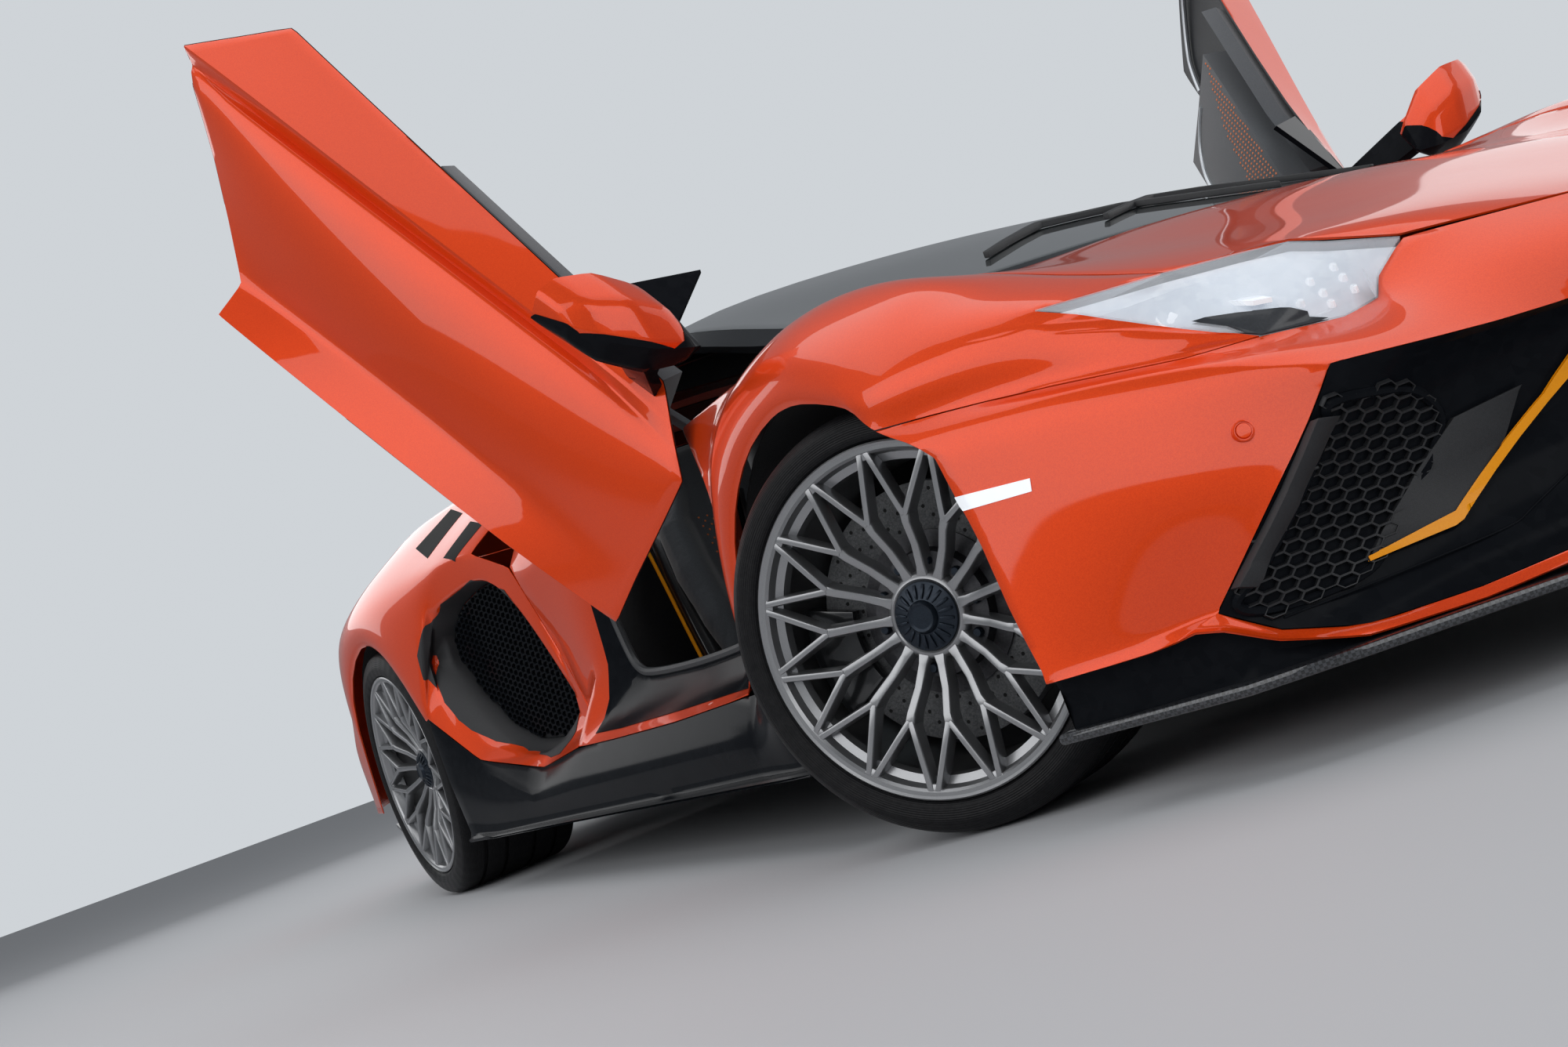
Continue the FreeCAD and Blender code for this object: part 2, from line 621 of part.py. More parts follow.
# Rear deck with its fixed tail edge.
deck_rows = [
    [(-1900, 0, 931), (-1900, 220, 930), (-1900, 430, 931), (-1900, 575, 940)],
    [(-2150, 0, 905), (-2150, 220, 904), (-2150, 430, 902), (-2150, 575, 900)],
    [(-2400, 0, 925), (-2397, 220, 924), (-2389, 430, 919), (-2378, 575, 912)],
]
deck_corner = [
    [(-2150, 575, 900), (-2150, 750, 905), (-2150, 890, 790)],
    [(-2378, 575, 912), (-2335, 750, 898), (-2262, 868, 800)],
]
deck_grids = [both_sides(deck_rows), deck_corner, [flipped(row) for row in deck_corner]]
net("rear_deck", deck_grids, (-2100, 0, 300))

# Rear bumper: from the tail edge down to the diffuser, meeting the rear wings at each side.
tail_rows = [
    [(-2400, 0, 925), (-2397, 220, 924), (-2389, 430, 919), (-2378, 575, 912), (-2335, 750, 898),
     (-2262, 868, 800), (-2150, 890, 790)],
    [(-2372, 0, 850), (-2370, 220, 849), (-2364, 430, 846), (-2355, 575, 842), (-2318, 762, 830),
     (-2255, 890, 740), (-2120, 930, 690)],
    [(-2400, 0, 620), (-2398, 220, 620), (-2391, 430, 618), (-2380, 575, 616), (-2335, 790, 605),
     (-2235, 930, 560), (-1978, 974, 506)],
    [(-2432, 0, 450), (-2430, 220, 450), (-2419, 430, 448), (-2405, 575, 445), (-2350, 810, 430),
     (-2200, 960, 410), (-1978, 974, 506)],
    [(-2405, 0, 330), (-2402, 220, 330), (-2392, 430, 328), (-2380, 575, 325), (-2325, 800, 300),
     (-2180, 955, 275), (-1795, 1030, 270)],
]
net("rear_bumper", [both_sides(tail_rows)], (-2000, 0, 500))
crease(tail_rows[0], tail_rows[1], tail_rows[3])

# Engine cover, hinged at the roof.
cover_rows = [
    [(-442, 0, 1122), (-442, 210, 1116), (-442, 430, 1096), (-436, 625, 1040)],
    [(-620, 0, 1102), (-620, 215, 1092), (-620, 430, 1062), (-620, 618, 1012)],
    [(-850, 0, 1072), (-850, 220, 1062), (-850, 430, 1030), (-850, 600, 985)],
    [(-1080, 0, 1040), (-1080, 220, 1032), (-1080, 425, 1008), (-1080, 590, 990)],
    [(-1365, 0, 1003), (-1365, 220, 998), (-1365, 420, 988), (-1365, 580, 985)],
    [(-1640, 0, 965), (-1640, 220, 962), (-1640, 425, 958), (-1640, 575, 968)],
    [(-1900, 0, 931), (-1900, 220, 930), (-1900, 430, 931), (-1900, 575, 940)],
]
net("engine_cover", [both_sides(cover_rows)], (-1200, 0, 300))

# Doors, drawn shut and then swung open about their hinge line.
door_rows = [
    [belt_front, (560, 842, 803), (389, 817, 812), (0, 797, 850), (-300, 785, 885), (-457, 778, 903)],
    [(762, 895, 744), (600, 893, 752), (389, 895, 762), (0, 915, 785), (-330, 925, 803), (-610, 926, 810)],
    [(800, 912, 712), (600, 886, 722), (389, 884, 728), (0, 898, 745), (-330, 905, 757), (-592, 915, 768)],
    [door_front_top, (610, 915, 690), (389, 918, 700), (0, 928, 718), (-330, 935, 732), (-572, 925, 732)],
    [(828, 935, 560), (610, 943, 560), (389, 945, 560), (0, 945, 570), (-330, 938, 590), (-490, 918, 600)],
    [(815, 945, 430), (610, 938, 420), (389, 930, 412), (0, 922, 400), (-250, 920, 385), (-362, 926, 376)],
    [(806, 952, 305), (610, 965, 302), (389, 975, 302), (0, 984, 308), (-250, 988, 313), (-355, 989, 316)],
]
door_core = (200, 300, 550)
net("door_skin", [door_rows], door_core)
sharp_edges.update(edge(corner(p), corner(q)) for row in (door_rows[1], door_rows[2], door_rows[5])
                   for p, q in zip(row, row[1:]))

# Side intake meshes: a plate closing the inner edge of each framed opening.
mesh_middle = (-640, 872, 540)
mesh_ring = [(x, y - 1, z) for x, y, z in ring[0]]
net("intake_mesh", [[[mesh_middle] * len(mesh_ring), mesh_ring]], (-600, 300, 500))

plain_nets = [side + name for name in ("rockers", "side_frames") for side in ("", "right ")]
shell_points, shell_facets, shell_middles = smooth_shell()
shell_facing = shell_normals(shell_points, shell_facets, shell_middles)

# The fixed panels, pressed from their surfaces
for name, wall in (("front_bumper", body_wall), ("front_fascia", body_wall), ("cowl", body_wall),
                   ("windscreen", glass_wall), ("roof", roof_wall), ("rear_deck", body_wall),
                   ("rear_bumper", body_wall)):
    save(name, pressed(name, wall))
for name, wall, inset in (
        ("front_wings", body_wall, joint_gap / 2),
        ("headlamps", lamp_depth, lamp_gap),
        ("side_frames", body_wall, 2 * joint_gap),
        ("rockers", body_wall, 2 * joint_gap),
        ("rear_wings", body_wall, joint_gap / 2)):
    panel = pressed(name, wall, inset)
    save(name, panel, mirrored(panel))

# Pieces that lie on a panel: an outline cut from a raised copy of the panel's surface.


def overlay(panel, outline, along, height, lift=joint_gap):
    raised = pressed(panel, height - lift, 1.0, -height)
    return prism(outline, along).common(raised)


# The fascia's upright outer vanes and raised Y blades, outlines as (y, z) on the left
vane_line = [(700, 396), (734, 402), (838, 240), (818, 232)]
blade_line = [(522, 346), (440, 356), (468, 300), (502, 262), (563, 225), (669, 216)]
vane_height = 16.0
blade_height = 10.0
vanes = []
for line, height in ((vane_line, vane_height), (blade_line, blade_height)):
    piece = overlay("front_fascia", [(1900, y, z) for y, z in line], V(400, 0, 0), height)
    vanes += [piece, mirrored(piece)]
save("fascia_vanes", *vanes)

# Tail lamps and the black grille between them, outlines as (y, z)
tail_lamp_line = [(430, 742), (700, 762), (830, 735), (800, 668), (700, 690), (590, 640), (540, 690)]
tail_lamp_line += [(430, 700)]
grille_line = [(-405, 760), (405, 760), (400, 560), (560, 500), (540, 430), (-540, 430), (-560, 500)]
grille_line += [(-400, 560)]
lamp_height = 9.0
grille_height = 4.0
tail_lamp = overlay("rear_bumper", [(-2480, y, z) for y, z in tail_lamp_line], V(300, 0, 0), lamp_height)
save("tail_lamps", tail_lamp, mirrored(tail_lamp))
grille = overlay("rear_bumper", [(-2480, y, z) for y, z in grille_line], V(150, 0, 0), grille_height)
save("rear_grille", grille)

# Wipers: an arm with its blade, lying on the foot of the glass
wiper_line = [(1205, 250), (1185, 262), (905, 130), (860, -60), (1035, -330), (1045, -325), (884, -62)]
wiper_line += [(925, 118)]
wiper_height = 13.0
wipers = []
for offset in (0, 300):
    outline = [(x - 0.03 * offset, y + offset, 800) for x, y in wiper_line]
    wipers.append(overlay("windscreen", outline, V(0, 0, 260), wiper_height))
save("wipers", *wipers)

# Carbon splitter: a flat blade under the nose, turned up a little at its ends.
splitter_line = [(2432, 0), (2345, 252), (2240, 470), (2070, 735), (1975, 865), (1700, 975)]
splitter_inner = [(1690, 900), (1900, 780), (2150, 350), (2200, 0)]
splitter_outline = [(x, y, 108) for x, y in splitter_line + splitter_inner]
splitter_left = prism(splitter_outline, V(0, 0, 16))
splitter = fuse([splitter_left, mirrored(splitter_left)])
save("splitter", splitter)

# Front luggage lid with its two hinge arms
lid = pressed("front_lid", body_wall, lid_gap)
lid_x, lid_z = front_lid_pivot
lid_arm_y = 743.0
lid_arm_width = 11.0
lid_arm_line = [(lid_x - 4, lid_z - 9), (lid_x + 60, lid_z - 9), (1260, 816), (1260, 828), (1165, 832),
                (lid_x, lid_z + 8)]
lid_arm = prism([(x, lid_arm_y, z) for x, z in lid_arm_line], V(0, lid_arm_width, 0))
lid_eye = rod((lid_x, lid_arm_y, lid_z), (lid_x, lid_arm_y + lid_arm_width, lid_z), lid_eye_radius)
lid_bore = rod((lid_x, 730, lid_z), (lid_x, 760, lid_z), lid_pin_radius + hinge_clearance)
lid_hinge = lid_arm.fuse(lid_eye).cut(lid_bore)
lid = fuse([lid, lid_hinge, mirrored(lid_hinge)])
save("front_lid", lid)

# Engine cover with its two hinge webs
cover = pressed("engine_cover", body_wall, lid_gap)
pivot_x, pivot_z = cover_pivot
cover_hinges = []
for y in (-98, 86):
    eye = rod((pivot_x, y, pivot_z), (pivot_x, y + web_width, pivot_z), cover_eye_radius)
    web = box(pivot_x - 60, pivot_x, y, y + web_width, pivot_z - 7, pivot_z + 11)
    bore = rod((pivot_x, y - 5, pivot_z), (pivot_x, y + web_width + 5, pivot_z),
               cover_pin_radius + hinge_clearance)
    cover_hinges.append(web.fuse(eye).cut(bore))
cover = fuse([cover] + cover_hinges)
save("engine_cover", cover)

# Doors: a skin, a lined inner panel with the hinge arm, a quarter light and a mirror.
door_skin = pressed("door_skin", body_wall, shut_gap)
# Thick copies of the skin, for cutting the pieces that sit on it
door_blocks = [pressed("door_skin", 60.0, shut_gap, -joint_gap)]
door_blocks.append(pressed("door_skin", 60.0, 0.0, -joint_gap))
frame_sections = [
    # x, then the outer face from top to bottom as (y, z)
    (600, ((827, 786), (868, 746), (868, 715), (900, 680), (930, 560), (925, 425))),
    (389, ((805, 799), (872, 758), (865, 722), (900, 690), (932, 560), (917, 420))),
    (10, ((786, 836), (888, 782), (882, 742), (910, 705), (932, 570), (909, 410))),
]
frame_wall = 36.0
frame_loops = []
for x, face in frame_sections:
    frame_loops.append([(x, y, z) for y, z in face] + [(x, y - frame_wall, z - 8) for y, z in face[::-1]])
door_frame = faceted_loft(frame_loops)
trim_outline = [(655, 742), (650, 600), (600, 452), (125, 455), (95, 610), (65, 742)]
skin_backing = pressed("door_skin", body_wall + joint_gap + 10, 0.0, -10.0)
door_pad = prism([(x, 748, z) for x, z in trim_outline], V(0, 136, 0)).cut(skin_backing)
door_axis = V(0, cos(radians(hinge_tilt)), -sin(radians(hinge_tilt)))


def on_hinge_line(y):
    along = (y - hinge_point.y) / door_axis.y
    return tuple(hinge_point + door_axis * along)


# The arm is drawn in its parked place, where it dips under the wing's edge and comes up
# inside the opening, and is then turned back with its door.
arm_line = [(832, 780), (826, 758), (780, 716), (752, 708), (700, 712), (684, 724), (670, 785), (670, 800)]
arm_line += [(704, 800), (706, 788), (716, 752), (748, 750), (765, 752), (800, 790), (818, 794)]
arm_plate = prism([(x, arm_y, z) for x, z in arm_line], V(0, arm_thickness, 0))
arm_end = arm_y + arm_thickness
arm_foot = [(670, arm_y, 796), (704, arm_y, 796), (704, arm_end, 796), (670, arm_end, 796)]
arm_head = [(654, 924, 903), (690, 924, 903), (690, 938, 899), (654, 938, 899)]
door_eye = rod(on_hinge_line(arm_y - 2), on_hinge_line(arm_end + 2), door_eye_radius)
door_bore = rod(on_hinge_line(arm_y - 12), on_hinge_line(arm_end + 12), door_pin_radius + hinge_clearance)
door_hinge = arm_plate.fuse(faceted_loft([arm_foot, arm_head])).fuse(door_eye).cut(door_bore)
door_hinge.rotate(hinge_point, door_axis, -door_open)
door_trim = fuse([door_frame, door_pad, door_hinge])

quarter_corners = [(672, 862, 793), (418, 836, 796), (590, 686, 914)]
skin_grown = pressed("door_skin", body_wall + 2 * joint_gap, shut_gap - joint_gap, -joint_gap)
quarter_light = prism(quarter_corners, V(0, -6, -9)).cut(door_blocks[0]).cut(skin_grown)
for lift in (0, joint_gap):
    seat_cutter = door_frame.copy()
    seat_cutter.translate(V(0, 0, lift))
    quarter_light = quarter_light.cut(seat_cutter)
quarter_light = max(quarter_light.Solids, key=lambda piece: piece.Volume)

mirror_sections = []
for y, back, front, low, high in (
        (925, 700, 790, 930, 962),
        (965, 650, 800, 915, 1008),
        (1040, 605, 775, 905, 1030),
        (1100, 578, 720, 915, 1020),
        (1130, 572, 660, 940, 995)):
    middle = (low + high) / 2
    mirror_sections.append([(back, y, low), (back, y, high), (back + 0.55 * (front - back), y, high - 4),
                            (front, y, middle + 6), (front - 12, y, low + 10)])
mirror_head = faceted_loft(mirror_sections)
mirror_arm = prism([(625, 985, 925), (720, 985, 925), (698, 862, 775), (628, 862, 775)], V(0, 22, -12))
mirror = fuse([mirror_head, mirror_arm]).cut(door_blocks[0]).cut(door_blocks[1])


def swung(shape, side):
    # The parked doors stand open: turned about the tilted hinge line.
    opened = shape.copy()
    opened.rotate(hinge_point, door_axis, door_open)
    if side == "right":
        opened = mirrored(opened)
    return opened


for side, mark in (("left", "l"), ("right", "r")):
    save("door_skin_" + mark, swung(door_skin, side))
    save("door_trim_" + mark, swung(door_trim, side))
    save("quarter_light_" + mark, swung(quarter_light, side))
    save("mirror_" + mark, swung(mirror, side))

# The plates behind the side intakes' openings
intake_mesh = pressed("intake_mesh", 4.0)
save("intake_meshes", intake_mesh, mirrored(intake_mesh))

# Tub: floor, sills, bulkheads, tunnel, luggage box and the rear frame in one dark structure.
floor_top = floor_z + floor_thickness
tub_pieces = [
    box(-960, 950, -859.7, 859.7, floor_z, floor_top),
    box(950, 2080, -470, 470, floor_z, floor_top),
    box(-2240, -960, -520, 520, floor_z, floor_top),
    box(900, 925, -700, 700, floor_top, 785),
    box(-405, 905, -110, 110, floor_top, 380),
]
for side in (1, -1):
    low, high = sorted((side * 742, side * 838))
    tub_pieces.append(box(-310, 775, low, high, floor_top, 350))
    low, high = sorted((side * 742, side * 796))
    tub_pieces.append(box(775, 905, low, high, floor_top, 740))
    tub_pieces.append(box(790, 905, low, high, 739, 796))
    low, high = sorted((side * 430, side * 470))
    tub_pieces.append(box(-2240, -410, low, high, floor_top, 420))
hoop_x = -430.0
hoop_side = [(742, floor_top), (742, 790), (600, 1005), (556, 1051), (424, 1081.5), (207, 1101.3)]
hoop = [(hoop_x, y, z) for y, z in hoop_side] + [(hoop_x, 0, 1107.3)]
hoop += [(hoop_x, -y, z) for y, z in reversed(hoop_side)]
ear_line = [(-8, -30), (-8, 4), (0, 5.5), (5, 3), (46, -33), (46, -62)]
rear_window_hole = box(-500, -380, -420, 420, 880, 1035)
tub_pieces.append(prism(hoop, V(32, 0, 0)).cut(rear_window_hole))
for side in (1, -1):
    low, high = sorted((side * 795, side * (arm_y - 9)))
    tub_pieces.append(box(796, 840, low, high, 754, 796))
    low, high = sorted((side * 698, side * 742))
    tub_pieces.append(box(900, 1104, low, high, 765, 800))
    low, high = sorted((side * 730, side * 742))
    tub_pieces.append(box(1090, 1126, low, high, 780, 822))
    lid_pin = rod((lid_x, 735, lid_z), (lid_x, 757, lid_z), lid_pin_radius)
    door_pin = rod(on_hinge_line(815), on_hinge_line(arm_end), door_pin_radius)
    cover_pin = rod((pivot_x, 80, pivot_z), (pivot_x, 100, pivot_z), cover_pin_radius)
    cover_ear = prism([(pivot_x + along, 72, pivot_z + up) for along, up in ear_line], V(0, web_width, 0))
    for piece in (lid_pin, door_pin, cover_pin, cover_ear):
        tub_pieces.append(piece if side > 0 else mirrored(piece))
luggage_box = box(980, 1860, -432, 432, floor_top, 600).cut(box(1000, 1840, -415, 415, 260, 601))
tub_pieces.append(luggage_box)
tub_pieces.append(box(-2240, -2200, -470, 470, floor_top, 420))
jack_pads = []
for x in (820, -760):
    for y in (-700, 700):
        jack_pads.append(box(x - 35, x + 35, y - 35, y + 35, floor_z - pad_height, floor_z))
tub = fuse(tub_pieces + jack_pads)
tow_socket = rod((-2250, 380, 270), (-2190, 380, 270), 8.0)
pipe_ways = [rod((-2250, y, 268), (-2190, y, 268), 38.3) for y in (-88, 0, 88)]
for way in [tow_socket] + pipe_ways:
    tub = tub.cut(way)
save("tub", tub)

# Wheel arch liners: an arched sheet over each wheel, standing on the floor.
liners = []
for axle_x, centre_z, radius, leg_side, y_in, y_out in (
        (front_axle_x, front_arch_z, front_arch_radius + 14, -1, 560, front_half_width - 32),
        (rear_axle_x, rear_arch_z, rear_arch_radius + 14, 1, 640, rear_half_width - 40)):
    steps = [12 * k for k in range(16)]
    inside = [arch_point(axle_x, centre_z, radius, a, y_in) for a in steps]
    outside = [arch_point(axle_x, centre_z, radius + 4, a, y_in) for a in steps]
    if leg_side > 0:
        leg_x = axle_x + radius
        leg = [(leg_x, y_in, floor_top + joint_gap), (leg_x + 4, y_in, floor_top + joint_gap)]
        outline = leg[:1] + inside + outside[::-1] + leg[1:]
    else:
        leg_x = axle_x - radius
        leg = [(leg_x - 4, y_in, floor_top + joint_gap), (leg_x, y_in, floor_top + joint_gap)]
        outline = outside + leg[:1] + leg[1:] + inside[::-1]
    liner = prism(outline, V(0, y_out - y_in, 0))
    # The leg must stay over the floor.
    liner = liner.cut(box(axle_x - 600, axle_x + 600, 855, 1100, 0, 235))
    liners += [liner, mirrored(liner)]
save("wheel_liners", *liners)

# Engine: one block between the rear rails, on four feet.
engine_outline = [(-1250, -190, 175), (-1250, 190, 175), (-1250, 330, 520), (-1250, 380, 700)]
engine_outline += [(-1250, 240, 765), (-1250, -240, 765), (-1250, -380, 700), (-1250, -330, 520)]
engine = fuse([
    prism(engine_outline, V(720, 0, 0)),
    box(-1150, -1060, -429.7, 429.7, 300, 340),
    box(-720, -630, -429.7, 429.7, 300, 340),
])
save("engine", engine)

# Exhaust silencer with its central tail pipes.
pipes = [rod((-2170, y, 268), (-2422, y, 268), 38.0).cut(rod((-2300, y, 268), (-2430, y, 268), 34.0))
         for y in (-88, 0, 88)]
exhaust = fuse([box(-2199.7, -2020, -300, 300, floor_top + joint_gap, 360)] + pipes)
save("exhaust", exhaust)

# Diffuser: the rising floor under the tail with its fins.
ramp = prism([(-2240.3, -860, 124.3), (-2240.3, -860, 138), (-2400, -860, 212), (-2400, -860, 198)],
             V(0, 1720, 0))
fins = []
for y in (-520, -330, -165, 165, 330, 520):
    fin_line = [(-2240.3, 100), (-2240.3, 130), (-2400, 204), (-2412, 150)]
    fins.append(prism([(x, y - 4, z) for x, z in fin_line], V(0, 8, 0)))
diffuser = fuse([ramp] + fins)
save("diffuser", diffuser)

# Dashboard with the centre console, the steering wheel and the two seats.
dash_outline = [(899.7, -690, 560), (899.7, -690, 785), (800, -690, 812), (640, -690, 790)]
dash_outline += [(585, -690, 720), (640, -690, 560)]
console = prism([(640, -95, 380.3), (640, -95, 600), (520, -95, 590), (120, -95, 450), (-200, -95, 440),
                 (-200, -95, 380.3)], V(0, 190, 0))
dashboard = fuse([prism(dash_outline, V(0, 1380, 0)), console])
save("dashboard", dashboard)

wheel_tilt = 24.0
wheel_sides = 24
rim_thickness = 26.0
rim_outer = []
rim_inner = []
for k in range(wheel_sides):
    turn = 2 * pi * k / wheel_sides
    rim_outer.append((0, 170 * cos(turn), max(-150, 170 * sin(turn))))
    rim_inner.append((0, 142 * cos(turn), max(-124, 142 * sin(turn))))
ring_solid = prism(rim_outer, V(rim_thickness, 0, 0)).cut(prism(rim_inner, V(rim_thickness, 0, 0)))
boss_line = [(-150, -16), (150, -16), (150, 18), (40, 44), (-40, 44), (-150, 18)]
boss = prism([(4, y, z) for y, z in boss_line], V(18, 0, 0))
column = box(20, 160, -28, 28, -28, 28)
steering_wheel = fuse([ring_solid, boss, column])
steering_wheel.rotate(ORIGIN, Y_AXIS, wheel_tilt)
steering_wheel.translate(V(440, 370, 760))
steering_wheel = steering_wheel.cut(prism(dash_outline, V(0, 1380, 0)))
save("steering_wheel", steering_wheel)

seat_profile = [(430, 165, floor_top + joint_gap), (440, 165, 320), (60, 165, 268), (-10, 165, 330)]
seat_profile += [(-215, 165, 900), (-330, 165, 890), (-150, 165, 230), (-120, 165, floor_top + joint_gap)]
seat = prism(seat_profile, V(0, 475, 0))
save("seats", seat, mirrored(seat))

# Suspension: wishbones from the frame to each wheel's upright. The front ones end in a
# ball pin above and below the upright, on which it steers.
pin_radius = 10.0
pin_clearance = 0.06
upright_half_height = 100.0
rear_upright_half = 112.0
tube_radius = 13.0
ball_reach = 52.0


def wishbone(axle_x, inner_y, outer_y, z_in, z_out, spread):
    pieces = [rod((axle_x + s * spread, inner_y, z_in), (axle_x + s * 14, outer_y, z_out), tube_radius)
              for s in (1, -1)]
    pieces.append(box(axle_x - 26, axle_x + 26, outer_y - 26, outer_y + 22, z_out - tube_radius,
                      z_out + tube_radius))
    return pieces


front_centre_z = front_tyre_radius
rear_centre_z = rear_tyre_radius
low_z = front_centre_z - upright_half_height - 18
high_z = front_centre_z + upright_half_height + 18
front_arms = []
for z_in, z_out, reach in ((200, low_z, 1), (430, high_z, -1)):
    pieces = wishbone(front_axle_x, 415, kingpin_y, z_in, z_out, 165)
    ball_end = (front_axle_x, kingpin_y, z_out + reach * ball_reach)
    pieces.append(rod((front_axle_x, kingpin_y, z_out), ball_end, pin_radius))
    front_arms.append(fuse(pieces).cut(box(900, 1900, 300, 432.3, 0, 700)))
rear_arms = []
for z_in, z_out in ((200, rear_centre_z - rear_upright_half), (400, rear_centre_z + rear_upright_half)):
    pieces = wishbone(rear_axle_x, 450, kingpin_y, z_in, z_out, 170)
    rear_arms.append(fuse(pieces).cut(box(-1700, -1000, 300, 470.3, 0, 700)))
rear_upright = fuse([
    box(rear_axle_x - 45, rear_axle_x + 45, kingpin_y - 26, kingpin_y + 22,
        rear_centre_z - rear_upright_half, rear_centre_z + rear_upright_half),
    rod((rear_axle_x, kingpin_y, rear_centre_z), (rear_axle_x, rear_face_y - 35, rear_centre_z),
        axle_pin_radius),
] + rear_arms)
suspension_left = front_arms + [rear_upright]
save("suspension", *(suspension_left + [mirrored(s) for s in suspension_left]))


def caliper(axle_x, centre_z, disc_radius, disc_y, reach_y):
    # A block bent round the disc, on the trailing side, reaching in to the upright.
    block = turned([(disc_y - 44, disc_radius - 62), (disc_y - 44, disc_radius + 24),
                    (disc_y + 44, disc_radius + 24), (disc_y + 44, disc_radius - 62)],
                   (axle_x, 0, centre_z), (0, 1, 0))
    slot = turned([(disc_y - 24, disc_radius - 90), (disc_y - 24, disc_radius + 6),
                   (disc_y + 24, disc_radius + 6), (disc_y + 24, disc_radius - 90)],
                  (axle_x, 0, centre_z), (0, 1, 0))
    sector = prism([(axle_x, 600, centre_z), (axle_x - 400, 600, centre_z + 130),
                    (axle_x - 400, 600, centre_z - 230)], V(0, 500, 0))
    lug = box(axle_x - disc_radius + 10, axle_x - 40, reach_y, disc_y - 30, centre_z - 45, centre_z + 20)
    return block.cut(slot).common(sector).fuse(lug)


front_disc_y = front_face_y - 107.0
rear_disc_y = rear_face_y - 147.0
knuckle = fuse([
    box(front_axle_x - 45, front_axle_x + 45, kingpin_y - 28, kingpin_y + 30,
        front_centre_z - upright_half_height, front_centre_z + upright_half_height),
    rod((front_axle_x, kingpin_y, front_centre_z), (front_axle_x, front_face_y - 30, front_centre_z),
        axle_pin_radius),
    caliper(front_axle_x, front_centre_z, disc_radius_front, front_disc_y, kingpin_y - 10),
])
for reach in (1, -1):
    mouth = front_centre_z + reach * (upright_half_height + 1)
    knuckle = knuckle.cut(rod((front_axle_x, kingpin_y, mouth),
                              (front_axle_x, kingpin_y, mouth - reach * 45), pin_radius + pin_clearance))
rear_caliper = caliper(rear_axle_x, rear_centre_z, disc_radius_rear, rear_disc_y, kingpin_y + 22.3)
save("rear_calipers", rear_caliper, mirrored(rear_caliper))


def wheel(axle_x, centre_z, face_y, width, rim_radius, disc_radius, disc_y, hub_y):
    inner_y = face_y + 5 - width
    centre = (axle_x, 0, centre_z)
    barrel_line = [(inner_y + 6, rim_radius - 10), (face_y - 11, rim_radius - 10), (face_y - 11, rim_radius)]
    barrel_line += [(face_y, rim_radius), (face_y, rim_radius - 12), (face_y - 30, rim_radius - 24)]
    barrel_line += [(inner_y + 6, rim_radius - 20)]
    barrel = turned(barrel_line, centre, (0, 1, 0))
    half = disc_thickness / 2
    bore_radius = axle_pin_radius + axle_clearance
    hub_line = [(face_y + 14, 0), (face_y + 14, 36), (face_y - 8, 46), (face_y - 20, 78), (disc_y + 40, 78)]
    hub_line += [(disc_y + 40, 112), (disc_y + half, 112), (disc_y + half, disc_radius)]
    hub_line += [(disc_y - half, disc_radius), (disc_y - half, 96), (disc_y - 4, 60)]
    hub_line += [(disc_y - 4, bore_radius), (hub_y + 6, bore_radius), (hub_y + 6, 0)]
    hub = turned(hub_line, centre, (0, 1, 0))
    spokes = []
    face_back = face_y - 46
    root_radius = 70.0
    fork_radius = root_radius + 0.48 * (rim_radius - root_radius)
    end_radius = rim_radius - 14
    step = 2 * pi / spoke_count
    for k in range(spoke_count):
        middle = k * step
        half_fork = 0.43 * step

        def at(radius, angle, side):
            along_x = radius * cos(angle) - side * sin(angle)
            along_z = radius * sin(angle) + side * cos(angle)
            return (axle_x + along_x, face_back, centre_z + along_z)

        stem = [at(root_radius, middle, -9), at(fork_radius, middle, -8), at(fork_radius, middle, 8),
                at(root_radius, middle, 9)]
        spokes.append(stem)
        for turn in (1, -1):
            a_end = middle + turn * half_fork
            spokes.append([at(fork_radius - 8, middle, -7), at(end_radius, a_end, -6),
                           at(end_radius, a_end, 6), at(fork_radius - 8, middle, 7)])
    return barrel.multiFuse([hub] + [prism(corners, V(0, spoke_thickness, 0)) for corners in spokes])


def tyre(axle_x, centre_z, face_y, width, rim_radius, tyre_radius):
    inner_y = face_y + 5 - width
    seat = rim_radius - 10 + joint_gap
    return turned([(inner_y + 6, seat), (inner_y, rim_radius + 14), (inner_y + 5, tyre_radius - 18),
                   (inner_y + 26, tyre_radius), (face_y - 20, tyre_radius), (face_y, tyre_radius - 18),
                   (face_y + 5, rim_radius + 14), (face_y + 1, rim_radius + joint_gap),
                   (face_y - 11 - joint_gap, rim_radius + joint_gap), (face_y - 11 - joint_gap, seat)],
                  (axle_x, 0, centre_z), (0, 1, 0))


def steered(shape, side):
    # The parked front wheels stand turned to the left about their kingpins.
    side_y = kingpin_y
    if side == "right":
        shape = mirrored(shape)
        side_y = -kingpin_y
    turned_shape = shape.copy()
    turned_shape.rotate(V(front_axle_x, side_y, 0), Z_AXIS, parked_steer)
    return turned_shape


